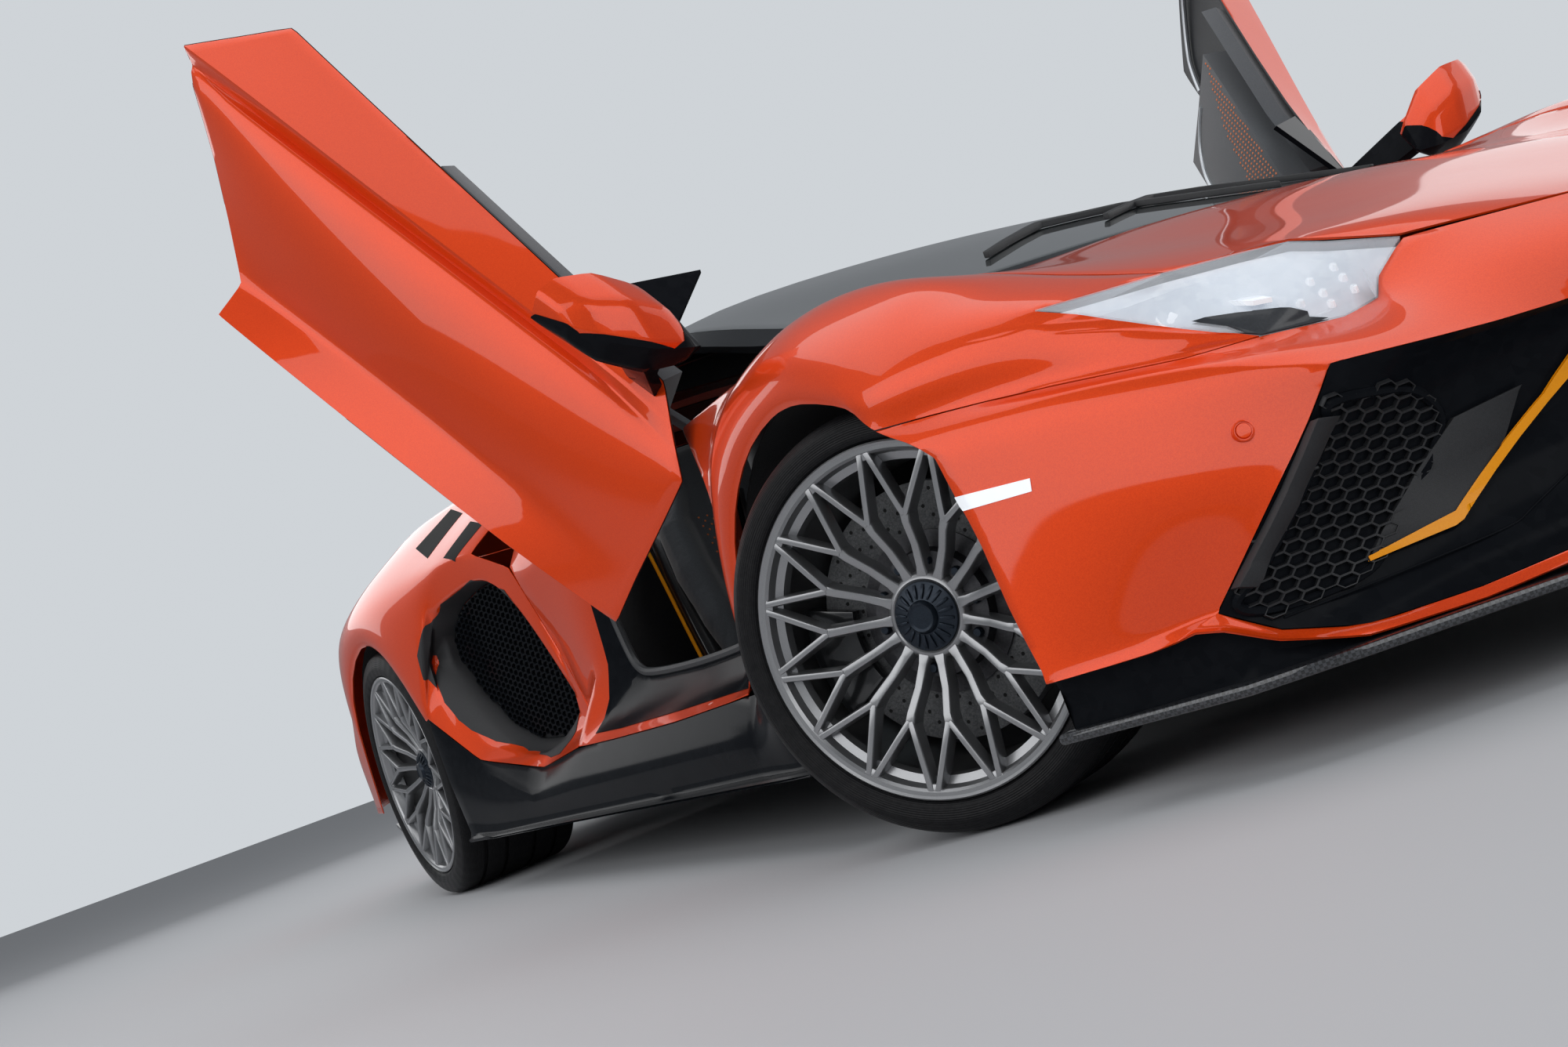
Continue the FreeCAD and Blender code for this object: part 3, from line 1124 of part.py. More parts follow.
front_wheel = wheel(front_axle_x, front_centre_z, front_face_y, front_tyre_width, front_rim_radius,
                    disc_radius_front, front_disc_y, front_face_y - 35)
rear_wheel = wheel(rear_axle_x, rear_centre_z, rear_face_y, rear_tyre_width, rear_rim_radius,
                   disc_radius_rear, rear_disc_y, rear_face_y - 40)
front_tyre = tyre(front_axle_x, front_centre_z, front_face_y, front_tyre_width, front_rim_radius,
                  front_tyre_radius)
rear_tyre = tyre(rear_axle_x, rear_centre_z, rear_face_y, rear_tyre_width, rear_rim_radius,
                 rear_tyre_radius)
for side, mark in (("left", "l"), ("right", "r")):
    save("knuckle_f" + mark, steered(knuckle, side))
    save("wheel_f" + mark, steered(front_wheel, side))
    save("tyre_f" + mark, steered(front_tyre, side))
save("wheel_rl", rear_wheel)
save("wheel_rr", mirrored(rear_wheel))
save("tyre_rl", rear_tyre)
save("tyre_rr", mirrored(rear_tyre))
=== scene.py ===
import bpy
import bmesh
from math import radians, sin, cos, pi
from mathutils import Vector, Matrix
from mathutils.bvhtree import BVHTree


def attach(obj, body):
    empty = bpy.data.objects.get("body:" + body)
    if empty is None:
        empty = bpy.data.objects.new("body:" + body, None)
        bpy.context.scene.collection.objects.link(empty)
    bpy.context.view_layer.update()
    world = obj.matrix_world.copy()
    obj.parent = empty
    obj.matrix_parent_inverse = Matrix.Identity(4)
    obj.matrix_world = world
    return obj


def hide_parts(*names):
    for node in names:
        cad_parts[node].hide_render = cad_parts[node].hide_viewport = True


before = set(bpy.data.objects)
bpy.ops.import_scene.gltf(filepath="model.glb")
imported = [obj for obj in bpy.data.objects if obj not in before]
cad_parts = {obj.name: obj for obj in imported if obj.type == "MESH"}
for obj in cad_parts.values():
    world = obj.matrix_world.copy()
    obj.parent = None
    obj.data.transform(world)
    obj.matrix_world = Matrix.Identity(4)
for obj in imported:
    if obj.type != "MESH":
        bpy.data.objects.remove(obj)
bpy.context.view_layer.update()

# Viewpoint
# The car is seen from low down at its right front corner, with the horizon tilted. The place, the
# direction and the lens were solved from the photo.
view_from = Vector((3.81974, -2.35340, 0.38121))
azimuth, elevation, roll = radians(152.5257), radians(3.0506), radians(-19.8619)
ahead = Vector((cos(elevation) * cos(azimuth), cos(elevation) * sin(azimuth), sin(elevation)))
level = ahead.cross(Vector((0, 0, 1))).normalized()
upright = level.cross(ahead)
across = cos(roll) * level + sin(roll) * upright
up = cos(roll) * upright - sin(roll) * level
bpy.ops.object.camera_add()
camera = bpy.context.object
camera.matrix_world = Matrix.Translation(view_from) @ Matrix((across, up, -ahead)).transposed().to_4x4()
camera.data.lens = 42.957
camera.data.clip_end = 200
bpy.context.scene.camera = camera
bpy.context.scene.view_settings.view_transform = "Standard"

# Floor
# A wide, plain, pale studio floor, just below the tyres, with a faint unevenness in its sheen.


def preset(node, **values):
    # Sets a node's sockets. An underscore stands for the space in a socket's name.
    for socket, value in values.items():
        node.inputs[socket.replace("_", " ")].default_value = value
    return node


def added(tree, kind, **values):
    # A new shader node in a tree, with its sockets set.
    return preset(tree.nodes.new("ShaderNode" + kind), **values)


def wired(tree, *runs):
    # Joins sockets, each run as (node, its output, node, its input).
    for giver, output, taker, entry in runs:
        tree.links.new(giver.outputs[output], taker.inputs[entry])


def new_finish(name, seen=None, **values):
    # A material, its node tree and its shader, with the shader's sockets set.
    finish = bpy.data.materials.new(name)
    finish.use_nodes = True
    if seen:
        finish.diffuse_color = (*seen, 1)
    return finish, finish.node_tree, preset(finish.node_tree.nodes["Principled BSDF"], **values)


bpy.ops.mesh.primitive_plane_add(size=60, location=(0, 0, -0.002))
floor = bpy.context.object
floor.name = "floor"
bpy.ops.object.transform_apply(location=True)
floor_paint, tree, shader = new_finish("pale_floor", Base_Color=(0.50, 0.51, 0.53, 1), Specular_IOR_Level=0.3)
noise, sheen = added(tree, "TexNoise", Scale=3.0), added(tree, "MapRange", To_Min=0.55, To_Max=0.7)
wired(tree, (noise, "Fac", sheen, "Value"), (sheen, "Result", shader, "Roughness"))
floor.data.materials.append(floor_paint)

# Studio light
# A pale room all round, and soft lamps overhead, at both sides and at both ends, that draw long
# highlights along the panels. Mirroring surfaces see a dimmer room than the camera does.
world = bpy.data.worlds.new("studio")
bpy.context.scene.world = world
world.use_nodes = True
room = world.node_tree
lit_room = preset(room.nodes["Background"], Strength=0.30, Color=(0.93, 0.96, 1.0, 1))
seen_room = added(room, "Background", Color=(0.80, 0.84, 0.88, 1), Strength=0.78)
mirrored_room = added(room, "Background", Color=(0.85, 0.90, 0.96, 1), Strength=0.24)
ray, gloss_or_glass = added(room, "LightPath"), added(room, "Math")
seen_mix, mirror_mix = added(room, "MixShader"), added(room, "MixShader")
gloss_or_glass.operation = "MAXIMUM"
wired(room, (ray, "Is Glossy Ray", gloss_or_glass, 0), (ray, "Is Transmission Ray", gloss_or_glass, 1),
      (gloss_or_glass, 0, mirror_mix, 0), (lit_room, 0, mirror_mix, 1), (mirrored_room, 0, mirror_mix, 2),
      (ray, "Is Camera Ray", seen_mix, 0), (mirror_mix, 0, seen_mix, 1), (seen_room, 0, seen_mix, 2),
      (seen_mix, 0, room.nodes["World Output"], "Surface"))
for lamp_name, place, size, power in (
        ("overhead_lamp", (0.5, -0.5, 5.5), (10.0, 5.0), 185),
        ("right_lamp", (1.5, -6.5, 3.2), (9.0, 3.5), 170),
        ("left_lamp", (0.5, 6.5, 3.2), (8.0, 4.0), 85),
        ("front_lamp", (7.0, -0.5, 2.6), (6.0, 2.5), 90),
        ("rear_lamp", (-6.5, -1.0, 3.0), (6.0, 2.5), 60)):
    bpy.ops.object.light_add(type="AREA", location=place)
    lamp = bpy.context.object
    lamp.name = lamp_name
    lamp.data.shape = "RECTANGLE"
    lamp.data.size, lamp.data.size_y = size
    lamp.data.energy = power
    aim = Vector((0, 0, 0.5)) - Vector(place)
    lamp.rotation_euler = aim.to_track_quat("-Z", "Y").to_euler()

# Painted body panels
# Composite and aluminium skins in pearl orange under a deep clear coat. Each is the frame's own
# panel, joined up and smoothed, with its pressed edges and fold lines kept crisp.


def node_group(name, takes, gives):
    # A shader node group with its sockets, as name: type, and its two end nodes.
    group = bpy.data.node_groups.new(name, "ShaderNodeTree")
    for in_out, sockets in (("INPUT", takes), ("OUTPUT", gives)):
        for label, kind in sockets.items():
            group.interface.new_socket(label, in_out=in_out, socket_type="NodeSocket" + kind)
    return group, group.nodes.new("NodeGroupInput"), group.nodes.new("NodeGroupOutput")


def grouped(tree, group, **values):
    # A node that runs a shared group, with its sockets set.
    node = tree.nodes.new("ShaderNodeGroup")
    node.node_tree = group
    return preset(node, **values)


marks, entry, end = node_group("handling_marks", {"Scale": "Float", "Low": "Float", "High": "Float"},
                               {"Roughness": "Float"})
spot, noise, spread = added(marks, "TexCoord"), added(marks, "TexNoise", Detail=5), added(marks, "MapRange")
wired(marks, (spot, "Object", noise, "Vector"), (entry, "Scale", noise, "Scale"), (noise, "Fac", spread, "Value"),
      (entry, "Low", spread, "To Min"), (entry, "High", spread, "To Max"), (spread, "Result", end, "Roughness"))
speckle, entry, end = node_group(
    "colour_speckle", {"Colour": "Color", "Fleck": "Color", "Scale": "Float", "Share": "Float"}, {"Colour": "Color"})
spot, cells, value = added(speckle, "TexCoord"), added(speckle, "TexVoronoi"), added(speckle, "SeparateColor")
strength, blend = added(speckle, "Math"), added(speckle, "Mix")
strength.operation, blend.data_type = "MULTIPLY", "RGBA"
wired(speckle, (spot, "Object", cells, "Vector"), (entry, "Scale", cells, "Scale"), (cells, "Color", value, "Color"),
      (value, "Red", strength, 0), (entry, "Share", strength, 1), (strength, 0, blend, "Factor"),
      (entry, "Colour", blend, "A"), (entry, "Fleck", blend, "B"), (blend, "Result", end, "Colour"))


def finish_of(name, colour, fleck, roughness, metallic=0.0, coat=0.0, fleck_scale=300, fleck_share=0.3,
              coat_roughness=0.03, specular=0.5, **sockets):
    # A surface with flecks of a second colour and a slightly uneven gloss.
    finish, tree, shader = new_finish(name, colour, Metallic=metallic, Coat_Weight=coat,
                                      Coat_Roughness=coat_roughness, Specular_IOR_Level=specular, **sockets)
    flecks = grouped(tree, speckle, Colour=(*colour, 1), Fleck=(*fleck, 1), Scale=fleck_scale, Share=fleck_share)
    gloss = grouped(tree, marks, Scale=9, Low=roughness[0], High=roughness[1])
    wired(tree, (flecks, "Colour", shader, "Base Color"), (gloss, "Roughness", shader, "Roughness"))
    return finish


def taken_up(name, data):
    # A new object, alone selected and ready to be worked on.
    piece = bpy.data.objects.new(name, data)
    bpy.context.scene.collection.objects.link(piece)
    bpy.ops.object.select_all(action="DESELECT")
    piece.select_set(True)
    bpy.context.view_layer.objects.active = piece
    return piece


def edit_all():
    # Opens the active piece for editing, with everything selected.
    bpy.ops.object.mode_set(mode="EDIT")
    bpy.ops.mesh.select_all(action="SELECT")


def edit_done():
    # Closes the piece again.
    bpy.ops.object.mode_set(mode="OBJECT")


def modified(piece, kind, **settings):
    # Gives the active piece a modifier and applies it.
    change = piece.modifiers.new(kind.lower(), kind)
    for setting, value in settings.items():
        setattr(change, setting, value)
    bpy.ops.object.modifier_apply(modifier=change.name)


def dressed(piece, finish, body, stands_for=None, fold=None):
    # Gives the active piece its shading and finish, and puts it on its body.
    if fold:
        bpy.ops.object.shade_smooth_by_angle(angle=radians(fold))
    piece.data.materials.clear()
    piece.data.materials.append(finish)
    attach(piece, body)
    if stands_for:
        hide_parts(stands_for)
    return piece


def skin_over(node, name, finish, slot="body_paint", body="car_body", levels=2, fold=26, crisp=0.92):
    # The frame's panel as a smooth skin: its facets become quads, its folds stay, and its
    # edges draw back to leave the shut lines open.
    shut_line = 0.0009
    skin = taken_up(name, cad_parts[node].data.copy())
    edit_all()
    bpy.ops.mesh.remove_doubles(threshold=0.00004)
    bpy.ops.mesh.tris_convert_to_quads(face_threshold=radians(24), shape_threshold=radians(75))
    bpy.ops.mesh.normals_make_consistent(inside=False)
    bpy.ops.mesh.select_all(action="DESELECT")
    bpy.ops.mesh.edges_select_sharp(sharpness=radians(fold))
    bpy.ops.transform.edge_crease(value=crisp)
    edit_done()
    modified(skin, "SUBSURF", levels=levels, render_levels=levels)
    edit_all()
    bpy.ops.transform.shrink_fatten(value=-shut_line)
    edit_done()
    return dressed(skin, finish, body, node, 34)


paint = finish_of("pearl_orange", (0.74, 0.050, 0.003), (0.98, 0.10, 0.008), (0.34, 0.42),
                  metallic=0.35, coat=0.8, fleck_scale=900, fleck_share=0.35, coat_roughness=0.035,
                  specular=0.08)
panels = {}
for node, name, *slot_and_body in (
        ("front_wings", "wing_skins"), ("front_bumper", "nose_skin"),
        ("front_lid", "luggage_lid", "body_paint", "front_lid"), ("side_frames", "door_surrounds", "frame_paint"),
        ("rear_wings", "haunches"), ("rear_deck", "tail_deck"),
        ("engine_cover", "engine_lid", "body_paint", "engine_cover"), ("rear_bumper", "tail_skin"),
        ("door_skin_l", "left_door_skin", "body_paint", "door_left"),
        ("door_skin_r", "right_door_skin", "body_paint", "door_right"),
        ("mirror_l", "left_mirror", "mirror_shell", "door_left"),
        ("mirror_r", "right_mirror", "mirror_shell", "door_right")):
    panels[name] = skin_over(node, name, paint, *slot_and_body)

# Roof, cowl and side skirts
# Gloss black panels: the roof with its two windscreen pillars, the cowl under the glass and the
# side skirts between the wheels, all deeply lacquered.
gloss_black = finish_of("piano_black", (0.006, 0.007, 0.009), (0.02, 0.022, 0.026), (0.12, 0.18),
                        fleck_scale=60, fleck_share=0.15, specular=0.18, IOR=1.16)
skin_over("roof", "roof_skin", gloss_black, "roof_black")
skin_over("cowl", "cowl_panel", gloss_black, "gloss_black")
skin_over("rockers", "side_skirts", gloss_black, "gloss_black", fold=32)

# Windscreen and quarter lights
# Laminated glass with a dark grey-green tint, bonded at its edges. The two small fixed lights on
# the doors are gloss black all over.
tinted, tree, shader = new_finish("tinted_glass", (0.1, 0.13, 0.14), Base_Color=(0.24, 0.29, 0.30, 1),
                                  Roughness=0.01, IOR=1.45, Transmission_Weight=0.9, Coat_Weight=1.0, Coat_IOR=1.9,
                                  Coat_Roughness=0.01)
skin_over("windscreen", "windscreen_glass", tinted, "tinted_glass")
for mark in "lr":
    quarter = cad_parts["quarter_light_" + mark]
    quarter.data.materials.clear()
    quarter.data.materials.append(gloss_black)

# Moulded and cast pieces
# What the car is built on: the carbon tub, arch liners, running gear, engine block and tail pipes,
# each the frame's own piece with its edges broken and its own finish.
grain, entry, end = node_group("moulded_grain", {"Scale": "Float", "Depth": "Float"}, {"Normal": "Vector"})
spot, noise, bump = added(grain, "TexCoord"), added(grain, "TexNoise", Detail=3), added(grain, "Bump", Distance=0.0006)
wired(grain, (spot, "Object", noise, "Vector"), (entry, "Scale", noise, "Scale"), (entry, "Depth", bump, "Strength"),
      (noise, "Fac", bump, "Height"), (bump, "Normal", end, "Normal"))


def grained(finish, scale, depth):
    # Adds the fine moulded grain to a finish.
    tree = finish.node_tree
    bumps = grouped(tree, grain, Scale=scale, Depth=depth)
    wired(tree, (bumps, "Normal", tree.nodes["Principled BSDF"], "Normal"))
    return finish


def edged_copy(node, name, finish, edge=0.003, body="car_body"):
    # The frame's piece with its sharp edges broken by a small round.
    piece = taken_up(name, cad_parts[node].data.copy())
    edit_all()
    bpy.ops.mesh.remove_doubles(threshold=0.00002)
    bpy.ops.mesh.normals_make_consistent(inside=False)
    bpy.ops.mesh.dissolve_limited(angle_limit=radians(1))
    edit_done()
    modified(piece, "BEVEL", width=edge, segments=2, angle_limit=radians(35))
    return dressed(piece, finish, body, node, 32)


dark_structure = grained(finish_of("satin_black_structure", (0.012, 0.013, 0.015), (0.03, 0.032, 0.035),
                                   (0.42, 0.55), fleck_scale=160), 260, 0.3)
arch_felt = grained(finish_of("arch_liner_felt", (0.008, 0.008, 0.009), (0.022, 0.022, 0.024),
                              (0.85, 0.97), fleck_scale=700, fleck_share=0.7), 900, 0.8)
cast_alloy = grained(finish_of("cast_alloy", (0.32, 0.33, 0.34), (0.40, 0.41, 0.42), (0.35, 0.5),
                               metallic=0.9, fleck_scale=500), 420, 0.35)
engine_paint = grained(finish_of("engine_black", (0.03, 0.03, 0.034), (0.09, 0.09, 0.10),
                                 (0.4, 0.6), fleck_scale=240), 300, 0.5)
pipe_steel = finish_of("tail_pipe_steel", (0.20, 0.19, 0.18), (0.30, 0.26, 0.22), (0.18, 0.3),
                       metallic=1.0, fleck_scale=90)
matte_black = grained(finish_of("matte_black_plastic", (0.014, 0.015, 0.017), (0.03, 0.03, 0.034),
                                (0.5, 0.62), fleck_scale=520), 700, 0.35)
edged_copy("tub", "tub_structure", dark_structure)
edged_copy("wheel_liners", "arch_liners", arch_felt, 0.001)
edged_copy("suspension", "wishbones", cast_alloy)
edged_copy("engine", "engine_block", engine_paint, 0.012)
edged_copy("exhaust", "silencer", pipe_steel, 0.002)
edged_copy("wipers", "wiper_arms", matte_black, 0.002)
tail_grille = edged_copy("rear_grille", "tail_grille", matte_black, 0.001)
intake_backs = edged_copy("intake_meshes", "intake_backs", matte_black, 0.001)
caliper_black = finish_of("caliper_black", (0.008, 0.009, 0.01), (0.02, 0.02, 0.022), (0.2, 0.3),
                          coat=0.6, fleck_scale=200)
edged_copy("knuckle_fl", "left_knuckle", caliper_black, body="knuckle_front_left")
edged_copy("knuckle_fr", "right_knuckle", caliper_black, body="knuckle_front_right")
edged_copy("rear_calipers", "rear_calipers_painted", caliper_black, 0.006)

# Splitter and diffuser
# Lacquered carbon fibre, with the twill of its cloth showing: the blade under the nose and the
# tray under the tail.
twill, entry, end = node_group("carbon_twill", {"Scale": "Float", "Dark": "Color", "Light": "Color"},
                               {"Colour": "Color"})
spot, turned = added(twill, "TexCoord"), added(twill, "Mapping", Rotation=(0, 0, radians(45)))
enlarged, checks = added(twill, "VectorMath"), added(twill, "TexChecker", Scale=1.0)
enlarged.operation = "SCALE"
wired(twill, (spot, "Object", turned, "Vector"), (turned, "Vector", enlarged, 0), (entry, "Scale", enlarged, "Scale"),
      (enlarged, "Vector", checks, "Vector"), (entry, "Dark", checks, "Color1"), (entry, "Light", checks, "Color2"),
      (checks, "Color", end, "Colour"))
carbon, tree, shader = new_finish("lacquered_carbon", Metallic=0.35, Coat_Weight=0.9, Coat_Roughness=0.04)
cloth = grouped(tree, twill, Scale=220, Dark=(0.010, 0.011, 0.013, 1), Light=(0.045, 0.048, 0.055, 1))
gloss = grouped(tree, marks, Scale=6, Low=0.25, High=0.4)
wired(tree, (cloth, "Colour", shader, "Base Color"), (gloss, "Roughness", shader, "Roughness"))
edged_copy("splitter", "splitter_blade", carbon, 0.006)
edged_copy("diffuser", "tail_diffuser", carbon)

# Nose fascia
# The gloss black moulding across the nose, with a honeycomb, a matte upright vane and a polished
# blade on each side, and an amber stripe bent round each blade.
fascia = skin_over("front_fascia", "nose_fascia", gloss_black, "gloss_black", levels=1, crisp=1.0)
amber = finish_of("amber_stripe", (0.95, 0.33, 0.0), (1.0, 0.42, 0.01), (0.3, 0.4), coat=0.15,
                  fleck_scale=700, specular=0.2)
honeycomb_line = [(2110, -715, 420), (2119, -616, 408), (2119, -584, 400), (2116, -560, 387),
                  (2108, -534, 362), (2096, -532, 337), (2068, -575, 280), (2044, -632, 228),
                  (2035, -671, 195), (1983, -801, 195), (1961, -839, 219), (1997, -807, 244),
                  (2029, -766, 292), (2062, -727, 345), (2095, -702, 393)]
amber_line = [(2225, -345, 411), (2189, -380, 374), (2153, -416, 336), (2078, -554, 235), (2035, -672, 219),
              (2035, -672, 213), (2079, -563, 218), (2084, -551, 222), (2177, -378, 350), (2215, -334, 384)]
crease_line = [(1993, -788, 184), (2126, -511, 190), (2137, -481, 205), (2158, -422, 231), (2230, -300, 300)]


def mirrored(points):
    # The same line on the other side of the car.
    return [(x, -y, z) for x, y, z in reversed(points)]


def laid_flat(outline, sideways, upward):
    # An outline's corners in metres, their middle, and the corners seen flat about the middle.
    corners = [Vector(place) / 1000 for place in outline]
    middle = sum(corners, Vector()) / len(corners)
    return corners, middle, [((c - middle).dot(sideways), (c - middle).dot(upward)) for c in corners]


def primitive(operator, name, **settings):
    # A new primitive, alone selected.
    bpy.ops.object.select_all(action="DESELECT")
    operator(**settings)
    bpy.context.object.name = name
    return bpy.context.object


def inside(place, outline):
    # True where a flat place lies inside a closed outline.
    within = False
    for (x0, y0), (x1, y1) in zip(outline, outline[1:] + outline[:1]):
        if (y0 > place[1]) != (y1 > place[1]) and place[0] < x0 + (x1 - x0) * (place[1] - y0) / (y1 - y0):
            within = not within
    return within


def meshed(name, built):
    # The mesh of what was built.
    mesh = bpy.data.meshes.new(name)
    built.to_mesh(mesh)
    built.free()
    return mesh


def applied_piece(skin, outline, along, name, finish, lift=0.001, body="car_body",
                  stand=(0, 0, 0), facing=None):
    # A thin piece stuck on a panel: the panel's skin inside the outline, cut along each of its
    # edges, raised a little and given a thickness.
    margin, least_facing, wall_share = 0.15, 0.35, 0.8
    along = Vector(along)
    inward = along.normalized()
    sideways = inward.orthogonal().normalized()
    upward = inward.cross(sideways)
    corners, middle, flat = laid_flat(outline, sideways, upward)
    reach = max((x * x + y * y) ** 0.5 for x, y in flat) + margin
    sheet = bmesh.new()
    sheet.from_mesh(skin.data)
    far_off = []
    for face in sheet.faces:
        offset = face.calc_center_median() - middle
        depth = offset.dot(inward)
        if abs(depth) > along.length or (offset - inward * depth).length > reach:
            far_off.append(face)
    bmesh.ops.delete(sheet, geom=far_off, context="FACES")
    for start, end in zip(corners, corners[1:] + corners[:1]):
        whole = sheet.verts[:] + sheet.edges[:] + sheet.faces[:]
        bmesh.ops.bisect_plane(sheet, geom=whole, dist=0.00001, plane_co=start, plane_no=(end - start).cross(inward))
    outside = []
    for face in sheet.faces:
        offset = face.calc_center_median() - middle
        turned_away = facing is not None and face.normal.dot(Vector(facing)) < least_facing
        if turned_away or not inside((offset.dot(sideways), offset.dot(upward)), flat):
            outside.append(face)
    bmesh.ops.delete(sheet, geom=outside, context="FACES")
    for corner in sheet.verts:
        corner.co += corner.normal * lift + Vector(stand)
    patch = taken_up(name, meshed(name, sheet))
    modified(patch, "SOLIDIFY", thickness=lift * wall_share, offset=-1)
    return dressed(patch, finish, body, fold=34)


def surface_of(piece):
    # A piece's surface, for finding where a line meets it.
    return BVHTree.FromPolygons([v.co for v in piece.data.vertices], [list(f.vertices) for f in piece.data.polygons])


def honeycomb(skin, outline, outward, name, finish, cell=(0.0165, 0.0078), wall=0.0013, depth=0.007,
              level=(0, 1, 0)):
    # A moulded grid of stretched hexagons that follows a skin inside the outline.
    clearance = 0.001
    outward = Vector(outward).normalized()
    across_grid = (Vector(level) - outward * Vector(level).dot(outward)).normalized()
    up_grid = outward.cross(across_grid)
    middle, flat = laid_flat(outline, across_grid, up_grid)[1:]
    hexagon = primitive(bpy.ops.mesh.primitive_circle_add, "cell", vertices=6, radius=1, fill_type="NGON")
    edit_all()
    bpy.ops.transform.rotate(value=radians(30), orient_axis="Z", center_override=(0, 0, 0))
    bpy.ops.transform.resize(value=(cell[0], cell[1] / 0.866, 1), center_override=(0, 0, 0))
    bpy.ops.mesh.inset(thickness=wall)
    bpy.ops.mesh.delete(type="ONLY_FACE")
    edit_done()
    gathered = bmesh.new()
    columns = int(max(abs(x) for x, y in flat) / (1.5 * cell[0])) + 1
    rows = int(max(abs(y) for x, y in flat) / (2 * cell[1])) + 1
    turn = Matrix((across_grid, up_grid, outward)).transposed().to_4x4()
    for column in range(-columns, columns + 1):
        for row in range(-rows, rows + 1):
            x, y = 1.5 * cell[0] * column, 2 * cell[1] * (row + 0.5 * (column % 2))
            if inside((x, y), flat):
                place = Matrix.Translation(middle + across_grid * x + up_grid * y + outward * 0.03) @ turn
                hexagon.data.transform(place)
                gathered.from_mesh(hexagon.data)
                hexagon.data.transform(place.inverted())
    bpy.data.objects.remove(hexagon)
    grid = taken_up(name, meshed(name, gathered))
    edit_all()
    bpy.ops.mesh.remove_doubles(threshold=0.0002)
    edit_done()
    surface = surface_of(skin)
    laid = bmesh.new()
    laid.from_mesh(grid.data)
    missed = []
    for corner in laid.verts:
        hit = surface.ray_cast(corner.co + outward * 0.2, -outward, 0.3)[0]
        if hit is None:
            missed.append(corner)
        else:
            corner.co = hit + outward * (clearance + depth)
    bmesh.ops.delete(laid, geom=missed, context="VERTS")
    laid.to_mesh(grid.data)
    laid.free()
    modified(grid, "SOLIDIFY", thickness=depth)
    return dressed(grid, finish, "car_body")


def bead(points, radius, name, finish, body="car_body", closed=False):
    # A smooth round bead or edge strip along points in millimetres.
    line = bpy.data.curves.new(name, "CURVE")
    line.dimensions = "3D"
    line.bevel_depth = radius
    line.bevel_resolution = 2
    line.use_fill_caps = True
    run = line.splines.new("NURBS")
    run.points.add(len(points) - 1)
    for knot, place in zip(run.points, points):
        knot.co = (*(Vector(place) / 1000), 1)
    run.order_u = 3
    run.use_endpoint_u = not closed
    run.use_cyclic_u = closed
    run.resolution_u = 6
    taken_up(name, line)
    bpy.ops.object.convert(target="MESH")
    return dressed(bpy.context.object, finish, body, fold=40)


edged_copy("fascia_vanes", "nose_vanes", matte_black, 0.004)
both_sides = (("right", -1, list), ("left", 1, mirrored))
for side, sign, turned_line in both_sides:
    applied_piece(fascia, turned_line(amber_line), (0.2, 0, 0), "amber_stripe_" + side, amber, lift=0.0008,
                  stand=(0.0105, 0, 0))
    honeycomb(fascia, turned_line(honeycomb_line), (0.88, 0.45 * sign, 0.1), "nose_honeycomb_" + side, matte_black)
    bead(turned_line(honeycomb_line), 0.0075, "honeycomb_rim_" + side, gloss_black, closed=True)
    bead(turned_line(crease_line), 0.0016, "fascia_bead_" + side, gloss_black)
    for x, y, z in ((2064, 745, 346), (2022, 790, 287)):
        fin = primitive(bpy.ops.mesh.primitive_cube_add, "vane_fin_%s_%d" % (side, z), size=1, location=(0, 0, 0))
        edit_all()
        bpy.ops.transform.resize(value=(0.030, 0.046, 0.0035), center_override=(0, 0, 0))
        bpy.ops.mesh.bevel(offset=0.0012, segments=2)
        edit_done()
        for corner in fin.data.vertices:
            if corner.co.x > 0:
                corner.co.x -= 0.012 * abs(corner.co.y) / 0.023
        fin.data.transform(Matrix.Translation(Vector((x, y * sign, z)) / 1000)
                           @ Matrix.Rotation(radians(32 * sign), 4, "Z"))
        dressed(fin, matte_black, "car_body", fold=40)

# Headlamps
# Long clear lamps let into the wings: a moulded cover over a silvered bowl with a projector, a
# slanted light guide, a cluster of small lenses and a black insert at the lower corner.
# The cover is a faint white veil rather than clear glass: painted reflection standing in for the sheen on the clear
# plastic.
cover_clear, tree, shader = new_finish("clear_lamp_cover", (0.8, 0.86, 0.9), Base_Color=(0.90, 0.94, 1.0, 1),
                                       IOR=1.45, Alpha=0.22)
wear = grouped(tree, marks, Scale=14, Low=0.03, High=0.09)
wired(tree, (wear, "Roughness", shader, "Roughness"))
# The bowl's faint blue-white glow is painted reflection, standing in for the bright light a silvered bowl mirrors.
silvered = finish_of("silvered_bowl", (0.66, 0.72, 0.79), (0.88, 0.91, 0.95), (0.2, 0.3), metallic=0.1,
                     fleck_scale=70, fleck_share=0.5, Emission_Color=(0.85, 0.92, 1.0, 1), Emission_Strength=0.10)
guide_white = finish_of("light_guide_white", (0.86, 0.89, 0.93), (1.0, 1.0, 1.0), (0.08, 0.15),
                        coat=0.6, fleck_scale=120, Emission_Color=(0.9, 0.95, 1.0, 1), Emission_Strength=0.25)
insert_black = finish_of("lamp_insert_black", (0.016, 0.019, 0.024), (0.04, 0.045, 0.055), (0.3, 0.4),
                         coat=0.2, fleck_scale=300)
glass_side, glass_turn = Vector((0.45, 0, 0.89)), 0.08
